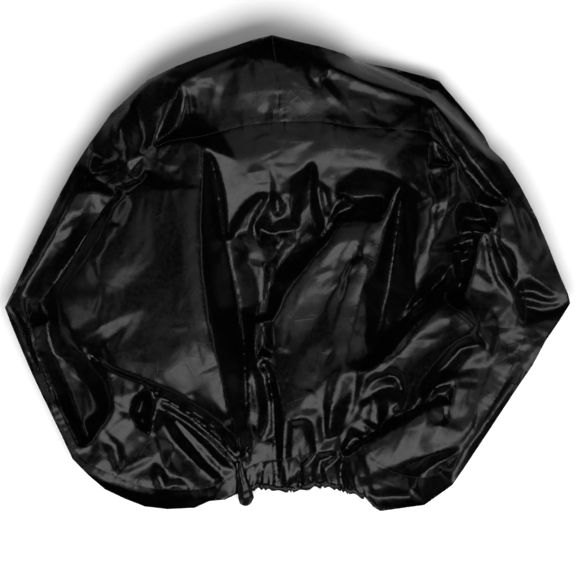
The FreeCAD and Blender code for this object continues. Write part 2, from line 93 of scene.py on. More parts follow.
FOLDS = {
    # the band from the crown to the face's seam
    "crown_left_crease": [(-22, 333, 64), (-60, 312, 68), (-110, 290, 71), (-152, 268, 70)],
    "crown_left_trough": [(-55, 300, 69), (-108, 276, 69), (-140, 262, 66)],
    "crown_right_crease": [
        (-22, 333, 64), (10, 314, 68), (60, 290, 70), (110, 269, 68), (150, 257, 63), (198, 249, 55),
    ],
    "crown_right_trough": [(55, 276, 63), (90, 260, 60), (150, 242, 57), (188, 238, 58)],
    "front_layer_edge": [(84, 309, 38), (104, 300, 38), (150, 281, 38), (200, 257, 42)],
    "rear_layer_foot": [(106, 301, 25), (152, 284, 23), (202, 261, 23), (214, 262, 22)],
    "rear_layer_side": [(214, 262, 22), (240, 234, 21), (262, 208, 22), (284, 184, 24)],
    "front_layer_side": [(200, 255, 40), (232, 228, 34), (262, 202, 30), (286, 184, 28)],
    "crown_strip_left": [(-50, 300, 71), (-48, 262, 68), (-52, 232, 64)],
    "crown_seam_top": [(-17, 300, 73), (-12, 262, 70), (-13, 236, 67), (-6, 220, 64)],
    "crown_dome": [(12, 281, 73), (34, 268, 71), (46, 250, 68), (48, 224, 63)],
    "crown_wrinkle_one": [(62, 262, 64), (72, 244, 63), (78, 226, 61)],
    "crown_wrinkle_two": [(96, 246, 61), (108, 232, 61), (118, 220, 59)],
    "crown_facet_tip": [(190, 238, 56), (192, 212, 60), (176, 205, 62)],
    "band_pleat_one": [(-92, 284, 66), (-90, 255, 62), (-80, 225, 62)],
    "band_pleat_two": [(-72, 290, 70), (-68, 255, 67), (-58, 228, 65)],
    "band_pleat_three": [(-116, 262, 62), (-112, 232, 59), (-100, 208, 61)],
    "band_step": [(-134, 252, 62), (-136, 225, 62), (-118, 200, 64)],
    # the left shoulder
    "shoulder_foot": [(-196, 272, 50), (-199, 248, 56), (-201, 220, 58), (-200, 191, 57)],
    "shoulder_crest": [(-152, 268, 70), (-163, 238, 77), (-178, 206, 76), (-187, 184, 70)],
    "shoulder_hollow": [(-144, 252, 58), (-149, 228, 52), (-158, 202, 50), (-174, 190, 56)],
    "shoulder_side": [(-206, 262, 48), (-222, 232, 54), (-236, 205, 57), (-226, 176, 60)],
    "shoulder_fall": [(-212, 240, 50), (-208, 205, 55), (-208, 172, 58)],
    "tip_upper": [(-279, 187, 32), (-258, 183, 46), (-243, 179, 54), (-232, 170, 61), (-226, 160, 64)],
    "tip_valley": [(-278, 172, 27), (-262, 166, 32), (-247, 166, 42)],
    "tip_lower": [(-284, 148, 26), (-264, 151, 44), (-246, 158, 54), (-226, 160, 64)],
    "tip_groove": [(-280, 143, 26), (-262, 145, 36), (-245, 150, 44)],
    "tip_second": [(-281, 138, 30), (-262, 140, 42), (-240, 145, 50), (-222, 150, 58)],
    "tip_dark": [(-262, 130, 38), (-242, 124, 42), (-222, 128, 48), (-209, 132, 54)],
    # the rim on the left and the valley beside it
    "left_crest": [
        (-284, 142, 40), (-296, 118, 52), (-312, 88, 54), (-330, 52, 50), (-352, 12, 44),
        (-376, -30, 34),
    ],
    "left_crest_inner": [(-276, 118, 50), (-292, 84, 50), (-312, 48, 44), (-340, 4, 34)],
    "left_valley": [
        (-240, 108, 44), (-262, 88, 34), (-284, 58, 26), (-304, 26, 20), (-328, -8, 16),
        (-352, -38, 14),
    ],
    "facet_rim": [
        (-205, 128, 70), (-226, 112, 70), (-243, 98, 66), (-252, 78, 64), (-268, 50, 60),
        (-294, 12, 54), (-312, -10, 46), (-326, -32, 36),
    ],
    "rim_knuckle": [(-228, 114, 72), (-224, 100, 66), (-216, 98, 70)],
    "rim_pucker_one": [(-256, 68, 62), (-242, 66, 68), (-228, 66, 70)],
    "rim_pucker_two": [(-250, 74, 60), (-240, 72, 64)],
    "rim_pucker_three": [(-268, 44, 58), (-254, 48, 66), (-246, 50, 67)],
    "rim_pucker_four": [(-276, 34, 56), (-262, 38, 63)],
    # the big flat facet on the left
    "notch_top": [(-200, 172, 62), (-184, 178, 70), (-160, 184, 75), (-137, 189, 77), (-120, 178, 79)],
    "notch_foot": [(-205, 128, 70), (-194, 146, 60), (-168, 131, 66), (-144, 152, 71), (-121, 174, 78)],
    "notch_left": [(-203, 168, 60), (-205, 148, 56)],
    "notch_tail": [(-196, 142, 68), (-188, 128, 69), (-183, 118, 72)],
    "facet_right": [
        (-120, 178, 79), (-118, 120, 80), (-119, 60, 80), (-117, 0, 79), (-108, -60, 78),
        (-98, -110, 76), (-88, -160, 73), (-78, -200, 66), (-69, -232, 52),
    ],
    "facet_middle": [(-190, 100, 71), (-185, 20, 70), (-180, -60, 69), (-150, -120, 69)],
    "facet_left": [(-262, 30, 66), (-262, -30, 62), (-268, -60, 58)],
    "facet_dent": [(-232, 10, 67), (-228, -20, 63), (-208, -45, 66)],
    "facet_lower": [
        (-286, -116, 50), (-250, -132, 56), (-190, -153, 61), (-150, -170, 61), (-118, -192, 59),
        (-92, -212, 55), (-69, -232, 48),
    ],
    "spur": [(-300, -96, 50), (-268, -80, 58), (-236, -60, 63), (-206, -50, 66)],
    "spur_foot": [(-284, -104, 46), (-256, -92, 53), (-226, -72, 60)],
    "patch_top": [(-342, -68, 24), (-322, -68, 40), (-306, -76, 50), (-298, -92, 50)],
    "patch_middle": [(-334, -84, 24), (-316, -84, 38), (-300, -96, 50)],
    "patch_low": [(-330, -100, 20), (-312, -102, 36), (-296, -106, 46), (-286, -116, 46)],
    "bright_corner": [(-130, -165, 62), (-106, -140, 70), (-96, -175, 68)],
    # the deep valley beside the facet
    "deep_valley": [
        (-107, 160, 58), (-101, 136, 44), (-96, 100, 32), (-89, 50, 20), (-79, 0, 12),
        (-69, -50, 10), (-62, -100, 10), (-59, -150, 10), (-58, -200, 10), (-57, -250, 10),
    ],
    "valley_far_side": [(-112, 176, 76), (-100, 158, 68), (-92, 130, 60), (-87, 95, 54), (-84, 55, 46)],
    "valley_leaf": [(-96, 30, 42), (-92, 6, 40), (-86, -22, 34), (-84, -60, 32)],
    # the arch of the face under the seam
    "arch_left_rim": [(-84, 55, 46), (-78, 74, 50), (-60, 100, 54), (-42, 114, 56), (-24, 122, 57)],
    "arch_left_foot": [(-76, 56, 30), (-64, 80, 36), (-48, 98, 40), (-30, 108, 44)],
    "arch_notch": [
        (-24, 122, 57), (-14, 126, 50), (-4, 137, 58), (12, 142, 60), (25, 152, 61), (37, 161, 62),
    ],
    "arch_shine": [(-70, 160, 64), (-30, 168, 64), (0, 176, 64), (30, 184, 65)],
    "arch_dent": [(10, 160, 60), (22, 176, 62), (40, 188, 64)],
    "arch_corner": [(62, 213, 66), (65, 204, 67), (62, 184, 65), (48, 170, 64)],
    "arch_right_rim": [(37, 161, 62), (60, 156, 61), (100, 150, 60), (130, 146, 60), (162, 133, 62)],
    "arch_right_top": [(70, 178, 64), (110, 172, 63), (150, 168, 63)],
    "arch_right_dent": [(110, 195, 62), (128, 186, 63), (146, 182, 64)],
    "shelf_foot": [(76, 122, 40), (100, 122, 38), (130, 121, 36), (148, 120, 38)],
    "shelf_lip": [(72, 113, 30), (86, 113, 26), (110, 112, 24), (140, 112, 26)],
    "shelf_corner": [(64, 140, 54), (72, 128, 52), (70, 114, 48), (74, 106, 46)],
    # the hollow in the middle
    "stem": [(-22, 119, 54), (-22, 96, 46), (-22, 64, 40)],
    "stem_left": [(-24, 116, 58), (-36, 92, 50), (-47, 70, 44), (-42, 42, 38), (-37, 16, 34)],
    "stem_left_foot": [(-36, 106, 40), (-50, 80, 34), (-56, 62, 30)],
    "stem_right_foot": [(-16, 106, 36), (-14, 88, 34)],
    "knuckle_one": [(-9, 130, 56), (-10, 112, 48), (0, 100, 50), (6, 86, 48), (8, 74, 42)],
    "knuckle_two": [(2, 132, 56), (4, 112, 46), (10, 92, 44)],
    "knuckle_low": [(-46, 78, 44), (-26, 84, 42), (-6, 80, 44), (8, 74, 42)],
    "hollow_back": [(-40, 66, 24), (-16, 60, 20), (16, 66, 20), (34, 74, 20)],
    "hook": [(-66, 52, 36), (-56, 30, 34), (-46, 14, 34), (-36, 12, 36), (-24, 17, 30)],
    "hook_tail": [(-60, 18, 32), (-46, -4, 30), (-36, -22, 30)],
    "crumb": [(-14, 36, 28), (-8, 52, 34), (-2, 54, 30)],
    "hollow_floor": [(14, 44, 18), (-14, 10, 16), (-30, -30, 16), (-34, -58, 16)],
    "pillar_left": [(24, 150, 62), (20, 118, 34), (16, 84, 20)],
    "pillar_ridge": [(38, 160, 62), (41, 132, 56), (44, 106, 52), (49, 84, 47), (52, 67, 42)],
    "pillar_shade": [(34, 140, 36), (34, 100, 20), (40, 72, 18)],
    "vee_right": [(52, 67, 42), (60, 84, 46), (70, 100, 48), (79, 112, 48)],
    "vee_inside": [(50, 118, 40), (54, 96, 36), (58, 88, 38)],
    "vee_inside_ridge": [(66, 142, 56), (58, 120, 50), (64, 108, 46)],
    "under_vee": [(56, 60, 22), (74, 88, 26), (96, 96, 28)],
    # the long panel in the middle and the strips on its right
    "panel_left": [
        (74, 76, 50), (44, 50, 30), (8, 14, 26), (-20, -12, 25), (-36, -40, 24), (-40, -62, 24),
        (-23, -112, 32), (-18, -140, 36), (-14, -157, 40),
    ],
    "panel_ridge": [(74, 76, 50), (48, 38, 48), (18, 0, 45), (-6, -36, 42), (-20, -64, 39), (-20, -100, 37)],
    "panel_low_line": [(92, 24, 42), (75, -7, 39), (54, -42, 38), (32, -79, 38), (14, -112, 40)],
    "panel_top": [(74, 76, 50), (100, 80, 50), (124, 84, 46)],
    "panel_right": [(94, 48, 50), (88, 10, 50), (76, -40, 48), (60, -90, 46), (46, -138, 43), (36, -164, 42)],
    "strip_left": [
        (146, 114, 56), (130, 72, 52), (117, 30, 50), (107, -16, 50), (98, -46, 48), (90, -78, 48),
        (80, -124, 50),
    ],
    "strip_right": [(160, 130, 62), (144, 80, 54), (132, 34, 50), (122, -2, 46), (110, -22, 46)],
    "strip_tail": [(110, -24, 46), (113, -50, 42), (115, -76, 38), (112, -98, 36)],
    "right_valley": [
        (160, 104, 34), (155, 60, 18), (150, 20, 14), (144, -20, 12), (134, -56, 12), (124, -86, 16),
    ],
    # the right cheek
    "right_fold": [
        (162, 133, 66), (172, 118, 66), (180, 104, 64), (179, 60, 66), (174, 20, 66), (175, -8, 62),
        (182, -24, 60),
    ],
    "right_fold_inner": [(164, 100, 46), (168, 60, 52), (166, 20, 52)],
    "cheek_crest": [
        (200, 186, 68), (196, 150, 74), (204, 110, 77), (202, 70, 76), (196, 30, 70), (184, -18, 60),
    ],
    "cheek_dent": [(216, 120, 72), (214, 96, 72), (210, 80, 73)],
    "cheek_shine": [(222, 150, 76), (226, 120, 78), (220, 84, 76), (210, 50, 70)],
    "cheek_groove": [(202, 130, 69), (214, 140, 68), (224, 148, 72)],
    "cheek_rim": [
        (238, 157, 68), (240, 130, 71), (242, 102, 70), (236, 84, 66), (226, 56, 60), (220, 42, 56),
    ],
    "cheek_low": [(222, 34, 56), (214, 14, 58), (200, -4, 60), (184, -22, 60)],
    "brow": [(198, 200, 62), (206, 188, 68), (220, 175, 71), (238, 157, 68)],
    "brow_shade": [(206, 176, 56), (212, 162, 52), (224, 156, 56)],
    "brow_foot": [(214, 152, 70), (226, 156, 72), (238, 157, 68)],
    # the band on the right, and the star where it meets the face
    "right_ridge": [
        (198, 249, 54), (214, 228, 58), (240, 190, 58), (266, 154, 56), (290, 122, 54), (312, 101, 54),
    ],
    "right_trough": [
        (205, 232, 50), (214, 202, 44), (230, 176, 38), (250, 148, 32), (276, 120, 30), (296, 108, 36),
    ],
    "right_groove": [(206, 244, 56), (246, 202, 51), (280, 160, 47), (304, 124, 46)],
    "right_outer": [(214, 240, 47), (250, 205, 46), (284, 164, 46), (306, 126, 48)],
    "star_left": [(242, 102, 70), (262, 101, 54), (286, 96, 48), (304, 97, 50), (312, 101, 54)],
    "star_valley": [(246, 84, 30), (268, 76, 20), (290, 74, 30)],
    "star_down": [(312, 101, 54), (298, 78, 52), (284, 62, 54)],
    "rim_fall": [(312, 101, 54), (330, 60, 46), (346, 20, 40), (356, -6, 36), (384, -30, 28)],
    "rim_facet": [(300, 48, 50), (322, 30, 48), (345, 8, 40)],
    "cheek_step": [(221, 40, 50), (240, 54, 52), (258, 60, 54), (284, 62, 54)],
    "cheek_step_foot": [(228, 38, 26), (244, 44, 26), (256, 50, 34)],
    "wedge": [(220, 38, 44), (236, 34, 48), (256, 30, 46)],
    "wedge_tip": [(232, 16, 46), (236, -4, 56)],
    "wedge_shade": [(246, 20, 20), (248, -6, 16), (240, -24, 18), (226, -32, 34)],
    "lens_top": [(200, -6, 44), (216, 6, 36), (226, 4, 34)],
    "lens_shade": [(190, -34, 34), (204, -22, 24), (220, -8, 24)],
    "pyramid_left": [(277, 61, 56), (269, 38, 54), (262, 6, 50), (254, -20, 46), (250, -40, 44)],
    "pyramid_right": [(281, 59, 56), (288, 30, 54), (298, 2, 50), (312, -18, 46), (322, -36, 42)],
    "pyramid_middle": [(279, 50, 48), (284, 10, 40), (296, -18, 38)],
    "pyramid_hollow_left": [(262, 50, 30), (256, 20, 22)],
    "pyramid_hollow_right": [(292, 50, 40), (304, 22, 28), (316, -6, 26)],
    "pyramid_base": [(258, -44, 44), (272, -73, 50), (296, -60, 42), (320, -42, 42)],
    "bunch_ring": [
        (320, -22, 36), (326, -6, 42), (342, -2, 42), (362, -14, 38), (384, -30, 32), (399, -40, 26),
    ],
    "bunch_inside": [(330, -24, 26), (348, -24, 24), (370, -34, 24)],
    "bunch_one": [(334, -34, 32), (356, -38, 32), (380, -40, 30), (399, -40, 26)],
    "bunch_valley": [(340, -46, 20), (362, -52, 20), (384, -48, 22)],
    "bunch_two": [(334, -74, 34), (360, -66, 32), (384, -54, 28)],
    # the pale panel and the folds round it
    "tube_top": [
        (236, -4, 56), (222, -26, 68), (190, -56, 72), (154, -96, 70), (124, -132, 64), (108, -150, 54),
    ],
    "tube_groove": [(214, -34, 66), (184, -70, 68), (150, -108, 66), (120, -140, 58)],
    "tube_lower": [(218, -36, 70), (188, -76, 71), (156, -112, 69), (126, -143, 60)],
    "tube_shade": [(204, -22, 30), (180, -44, 26), (150, -78, 22), (128, -100, 22), (114, -118, 34)],
    "shade_ridge": [(180, -26, 56), (170, -44, 46), (156, -80, 40), (148, -96, 40)],
    "panel_edge": [(222, -36, 70), (242, -54, 67), (262, -73, 61)],
    "panel_low": [
        (262, -76, 60), (256, -86, 58), (236, -98, 56), (212, -122, 53), (188, -152, 48), (170, -178, 40),
    ],
    "panel_mark": [(264, -80, 52), (284, -104, 44), (280, -112, 38)],
    "low_shade": [(270, -98, 32), (244, -104, 22), (220, -132, 16), (200, -160, 16), (186, -180, 22)],
    "low_shade_far": [(278, -112, 38), (256, -118, 38), (238, -140, 36), (214, -152, 38), (198, -182, 38)],
    "low_wing": [(240, -150, 42), (216, -156, 44), (204, -166, 44), (196, -184, 40)],
    "low_wing_shade": [(212, -170, 26), (224, -168, 26), (228, -180, 28), (224, -200, 32)],
    "low_dart": [(196, -186, 40), (208, -192, 40), (217, -206, 36)],
    "arc_shade": [(122, -148, 44), (142, -140, 34), (156, -144, 32), (162, -160, 32), (160, -182, 26)],
    "arc_outer": [
        (108, -150, 54), (128, -138, 58), (148, -135, 58), (164, -146, 54), (167, -164, 48),
        (164, -192, 34),
    ],
    "arc_crest": [(108, -178, 46), (126, -166, 50), (146, -158, 50), (154, -162, 46), (157, -172, 40)],
    "saddle": [(108, -150, 54), (112, -164, 46), (120, -174, 44), (128, -192, 42), (130, -216, 38)],
    "saddle_shade": [(140, -176, 26), (144, -196, 20), (134, -214, 22)],
    "saddle_side": [(112, -182, 36), (104, -206, 32), (112, -226, 32)],
    # the lobe at the lower right
    "lobe_shade": [(184, -188, 22), (156, -202, 20), (124, -222, 18), (98, -238, 14), (84, -250, 12)],
    "lobe_top": [
        (232, -184, 40), (198, -190, 46), (168, -206, 46), (134, -226, 44), (102, -244, 40), (82, -262, 30),
    ],
    "lobe_crease": [(192, -192, 46), (188, -220, 46), (182, -246, 43)],
    "lobe_ridge": [(226, -250, 37), (196, -258, 43), (160, -268, 42), (120, -282, 37), (96, -290, 28)],
    "lobe_hollow": [(228, -262, 20), (206, -272, 16), (184, -290, 16)],
    "lobe_lip": [(176, -308, 26), (150, -304, 30), (122, -306, 26), (108, -302, 22)],
    "lobe_lip_shade": [(172, -318, 18), (140, -318, 18), (118, -314, 18)],
    "lobe_spine": [(172, -290, 32), (146, -286, 34), (120, -294, 30)],
    "lobe_side": [(232, -208, 36), (218, -214, 40), (204, -236, 38)],
    "right_low_facet": [(300, -90, 33), (290, -130, 34), (272, -180, 36), (252, -225, 37)],
    "right_low_line": [(272, -132, 30), (268, -165, 32), (258, -200, 34)],
    "edge_tuck": [(312, -128, 35), (326, -126, 34), (342, -127, 31)],
    "edge_strip": [(346, -112, 35), (318, -156, 37), (286, -202, 38), (256, -244, 38), (236, -280, 36)],
    "edge_strip_groove": [(334, -116, 31), (306, -160, 31), (274, -206, 32), (246, -248, 32)],
    # the skirt over the mouth's front
    "skirt_top": [(-14, -157, 41), (10, -162, 42), (36, -165, 43), (58, -145, 46), (80, -125, 50)],
    "skirt_right": [
        (80, -125, 50), (96, -138, 50), (108, -150, 54), (100, -184, 42), (88, -216, 32), (74, -256, 22),
    ],
    "skirt_left": [(-14, -157, 42), (-8, -200, 40), (-5, -250, 34), (-4, -296, 20)],
    "skirt_fold": [(34, -166, 46), (16, -190, 42), (0, -207, 40)],
    "skirt_step": [
        (0, -207, 40), (12, -206, 44), (27, -203, 45), (38, -214, 43), (42, -254, 34), (34, -280, 24),
        (28, -297, 16),
    ],
    "skirt_step_foot": [(20, -214, 30), (26, -232, 26), (36, -250, 27)],
    "skirt_sweep": [(58, -222, 42), (62, -190, 50), (74, -142, 53)],
    "skirt_sweep_shade": [(78, -226, 26), (88, -190, 34), (94, -160, 42)],
    "skirt_valley": [(8, -216, 30), (6, -258, 20), (9, -300, 11)],
    "skirt_valley_two": [(54, -236, 28), (52, -214, 32), (50, -188, 38)],
    "skirt_valley_left": [(-20, -186, 22), (-18, -230, 16), (-14, -300, 10)],
    "skirt_fan_shade": [(48, -264, 18), (42, -296, 9)],
    "skirt_fan_left": [(20, -268, 18), (16, -298, 10)],
    "skirt_fan_right": [(70, -272, 24), (60, -297, 15)],
    "skirt_fan_far": [(86, -268, 26), (84, -302, 15)],
    "skirt_fan_far_shade": [(78, -266, 12), (74, -300, 10)],
    "skirt_low": [(42, -254, 34), (58, -251, 36), (75, -256, 32)],
    "skirt_fan_one": [(2, -292, 20), (20, -274, 28), (42, -254, 34)],
    "skirt_fan_two": [(32, -296, 18), (52, -278, 26), (75, -256, 32)],
    # the soft tube left of the skirt
    "tube_rim": [(-52, -70, 30), (-42, -66, 38), (-32, -68, 36)],
    "tube_ridge": [(-42, -66, 38), (-46, -96, 38), (-44, -126, 36), (-40, -136, 36)],
    "tube_side": [(-52, -72, 26), (-56, -112, 24), (-57, -160, 24), (-55, -212, 20), (-56, -256, 16)],
    "tube_dark": [(-34, -78, 22), (-36, -104, 20)],
    "tube_arch": [(-42, -128, 36), (-34, -117, 38), (-24, -122, 38), (-18, -146, 38), (-14, -157, 41)],
    "tube_arch_shade": [(-34, -128, 22), (-28, -146, 20), (-22, -176, 18)],
    "oval_rim": [
        (-40, -136, 36), (-29, -146, 36), (-26, -176, 34), (-26, -212, 30), (-38, -240, 26),
        (-48, -232, 24),
    ],
    "oval_dark": [(-48, -150, 20), (-42, -190, 18), (-42, -222, 18)],
    "tube_low": [(-14, -230, 28), (-26, -262, 24), (-44, -296, 14)],
    "tube_low_left": [(-54, -256, 22), (-50, -276, 18), (-46, -298, 13)],
    "tube_cross": [(-56, -254, 22), (-36, -250, 24), (-22, -240, 26)],
    "tube_leaf": [(-38, -284, 20), (-26, -268, 26), (-12, -264, 24)],
    # the dark ground at the lower left
    "black_left": [(-344, -56, 10), (-332, -116, 10), (-312, -168, 10), (-294, -212, 10), (-284, -236, 14)],
    "black_left_inner": [(-306, -120, 14), (-284, -160, 12), (-266, -190, 18)],
    "left_strip_inner": [
        (-392, -44, 31), (-374, -52, 37), (-364, -76, 38), (-361, -100, 37), (-344, -140, 36),
        (-322, -192, 35), (-298, -244, 32),
    ],
    "left_strip_hollow": [(-386, -60, 24), (-374, -86, 24), (-366, -110, 26)],
    "left_strip_mark": [(-364, -118, 24), (-352, -140, 28), (-342, -146, 28)],
    "bright_web": [(-284, -124, 38), (-256, -150, 40), (-250, -172, 42), (-250, -194, 40)],
    "bright_web_right": [
        (-196, -158, 48), (-212, -172, 44), (-222, -194, 40), (-214, -216, 32), (-196, -226, 32),
    ],
    "web_line": [(-276, -118, 34), (-240, -138, 38), (-200, -154, 44)],
    "oval_left": [(-206, -178, 14), (-212, -196, 10), (-202, -214, 12)],
    "post": [(-194, -158, 50), (-186, -187, 50), (-192, -210, 46), (-196, -226, 36)],
    "web_foot": [(-250, -194, 40), (-264, -216, 36), (-292, -246, 32)],
    "ridge_low": [(-183, -187, 48), (-158, -200, 49), (-124, -224, 46), (-98, -248, 40), (-68, -282, 22)],
    "ridge_low_two": [(-170, -194, 46), (-146, -228, 40), (-118, -262, 34), (-90, -288, 24)],
    "ridge_low_groove": [(-156, -206, 38), (-128, -236, 32), (-96, -272, 22)],
    "gap_shade": [(-186, -166, 34), (-150, -184, 30), (-116, -206, 28), (-92, -228, 24), (-74, -248, 16)],
    "gap_crest": [(-180, -172, 46), (-146, -192, 46), (-112, -218, 44), (-84, -246, 34), (-68, -262, 24)],
    "gap_shade_two": [(-172, -182, 36), (-140, -202, 34), (-104, -232, 30), (-78, -262, 20)],
    "end_facet": [(-82, -214, 46), (-70, -250, 34), (-66, -282, 22)],
    "base_shade": [(-176, -212, 26), (-160, -240, 18), (-130, -272, 14), (-104, -296, 14)],
    "crumple_one": [(-268, -236, 33), (-258, -258, 35), (-246, -282, 30)],
    "crumple_two": [(-282, -250, 29), (-268, -268, 31), (-256, -290, 27)],
    "crumple_three": [(-234, -240, 31), (-230, -262, 29), (-240, -284, 29), (-226, -286, 30)],
    "crumple_shade": [(-246, -244, 24), (-240, -270, 22)],
    "plate": [(-228, -284, 31), (-206, -276, 34), (-192, -268, 36), (-180, -250, 36), (-190, -230, 34)],
    "plate_foot": [(-232, -292, 28), (-206, -292, 28), (-192, -296, 26)],
    "spot_rim": [(-188, -268, 34), (-194, -290, 28), (-188, -310, 24), (-172, -320, 20)],
    "spot_dark": [(-184, -284, 18), (-176, -304, 14), (-164, -300, 16)],
    "spot_ray_one": [(-184, -270, 34), (-172, -282, 30), (-150, -290, 28)],
    "spot_ray_two": [(-168, -298, 24), (-152, -288, 28), (-130, -300, 22)],
    "spot_ray_three": [(-150, -290, 28), (-134, -306, 22), (-112, -318, 18)],
    "low_hem_line": [(-258, -296, 24), (-222, -308, 24), (-176, -322, 26), (-128, -318, 24), (-98, -312, 20)],
}

LOW, HIGH = CAD_BOX
MIDDLE = (LOW + HIGH) / 2
SCALE = np.array([(HIGH[k] - LOW[k]) / PATTERN[k] for k in range(3)])
GRAIN = 0.0027  # the side of the cloth's triangles
ROW_STEP = 0.866  # how many grains apart the rows of free points lie
STRAYING = 0.12  # how many grains a free point strays from its row
CLEARANCE = 0.62  # how many grains a free point keeps from a fold
NET_SEED = 5
CLOTH = 0.0003
SHARP = math.radians(58)  # a crease of more than this is sharp
HOLD = 7.0  # how firmly a fold keeps its height against the pull of the cloth beside it
EDGE_HOLD = 700.0
TAUTNESS = 0.12  # how taut the stiffened cloth stays
SPRING_RANGE = (-2, 6)
WEAKEST_SPRING = 0.02
SMALLEST_SPOT = 0.3  # the least cloth that a point stands for, as a share of the mean
TAUT_ROUNDS = 500
STIFF_ROUNDS = 500
EASE = 0.5  # how far towards its neighbours a round of easing moves a point
EASING_ROUNDS = 3
CALM_ROUNDS = 120
RELIEF = 0.55  # how much of the finer relief is kept
NEAR_ZERO = 1e-9
FLAT_CELL = 0.020
EDGE_MARGIN = 0.012  # how far in from the outline the seams and the crumpling set in
RIM_CRUMPLE = 0.6  # how much of the crumpling the outline has

# Crumpling between the folds: the facets' size, how far they rise and fall, and a seed.
CRUMPLES = ((0.050, 0.0012, 11), (0.018, 0.0005, 13))


def placed(points):
    """Pattern points in metres, in the frame; a point without a height has none here either."""
    points = [(*p, math.nan) if len(p) == 2 else p for p in points]
    return np.array(points, float) * SCALE + np.array([MIDDLE.x, MIDDLE.y, LOW.z])


def stepped(points, step):
    """A line of straight runs through the points, with a point about every step."""
    out = [points[0]]
    for start, end in zip(points[:-1], points[1:]):
        parts = max(1, round(float(np.linalg.norm((end - start)[:2])) / step))
        for k in range(1, parts + 1):
            out.append(start + (end - start) * k / parts)
    return np.array(out)


def curved(points, step):
    """A smooth line through the points, with a point about every step."""
    if len(points) < 3:
        return stepped(points, step)
    before = np.concatenate([[2 * points[0] - points[1]], points, [2 * points[-1] - points[-2]]])
    out = [points[0]]
    for a, b, c, d in zip(before[:-3], before[1:-2], before[2:-1], before[3:]):
        parts = max(1, round(float(np.linalg.norm((c - b)[:2])) / step))
        for k in range(1, parts + 1):
            t = k / parts
            bend = (2 * a - 5 * b + 4 * c - d) * t**2 + (3 * b - a - 3 * c + d) * t**3
            out.append((2 * b + (c - a) * t + bend) / 2)
    return np.array(out)


def inside(points, outline):
    """Which points lie inside a closed outline."""
    result = np.zeros(len(points), bool)
    x, y = points[:, 0], points[:, 1]
    for (x1, y1), (x2, y2) in zip(outline, np.roll(outline, -1, axis=0)):
        crosses = (y1 > y) != (y2 > y)
        if y1 != y2:
            result ^= crosses & (x < (x2 - x1) * (y - y1) / (y2 - y1) + x1)
    return result


SQUARE = ((-1, -1), (1, -1), (1, 1), (-1, 1))


def smooth_step(value):
    """From 0 to 1 as the value goes from 0 to 1, level at both ends."""
    value = np.clip(value, 0, 1)
    return value * value * (3 - 2 * value)


def tree_of(points):
    """A search tree of the points, by x and y."""
    tree = kdtree.KDTree(len(points))
    for number, point in enumerate(points):
        tree.insert((point[0], point[1], 0), number)
    tree.balance()
    return tree


class Net:
    """The cloth's flat network of points and the creases between them."""

    def __init__(self):
        self.points, self.heights, self.edges = [], [], []

    def add_line(self, line, closed=False):
        """Adds a crease; a point whose height is not a number is free to rise and fall."""
        first = len(self.points)
        for x, y, z in line:
            self.points.append((x, y))
            self.heights.append(z)
        count = len(line)
        self.edges += [(first + k, first + k + 1) for k in range(count - 1)]
        if closed:
            self.edges.append((first + count - 1, first))

    def fill(self, outline):
        """Fills the outline with free points, clear of the creases."""
        tree = tree_of(self.points)
        random = np.random.default_rng(NET_SEED)
        low, high = outline.min(0), outline.max(0)
        rows = np.arange(low[1], high[1], GRAIN * ROW_STEP)
        grid = []
        for number, y in enumerate(rows):
            xs = np.arange(low[0] + (number % 2) * GRAIN / 2, high[0], GRAIN)
            grid.append(np.stack([xs, np.full_like(xs, y)], axis=1))
        grid = np.concatenate(grid)
        grid += random.uniform(-STRAYING, STRAYING, grid.shape) * GRAIN
        grid = grid[inside(grid, outline)]
        for x, y in grid:
            if tree.find((x, y, 0))[2] > CLEARANCE * GRAIN:
                self.points.append((x, y))
                self.heights.append(math.nan)

    def triangulate(self, outline):
        """Points, heights and triangles, and each given point's place in the list of points."""
        flat = [Vector(p) for p in self.points]
        found = delaunay_2d_cdt(flat, self.edges, [], 0, 1e-6, True)
        points = np.array([tuple(p) for p in found[0]])
        heights = np.full(len(points), math.nan)
        place = np.zeros(len(flat), int)
        for number, sources in enumerate(found[3]):
            known = [self.heights[k] for k in sources if not math.isnan(self.heights[k])]
            if known:
                heights[number] = sum(known) / len(known)
            place[list(sources)] = number
        triangles = np.array(found[2])
        middles = points[triangles].mean(1)
        return points, heights, triangles[inside(middles, outline)], place


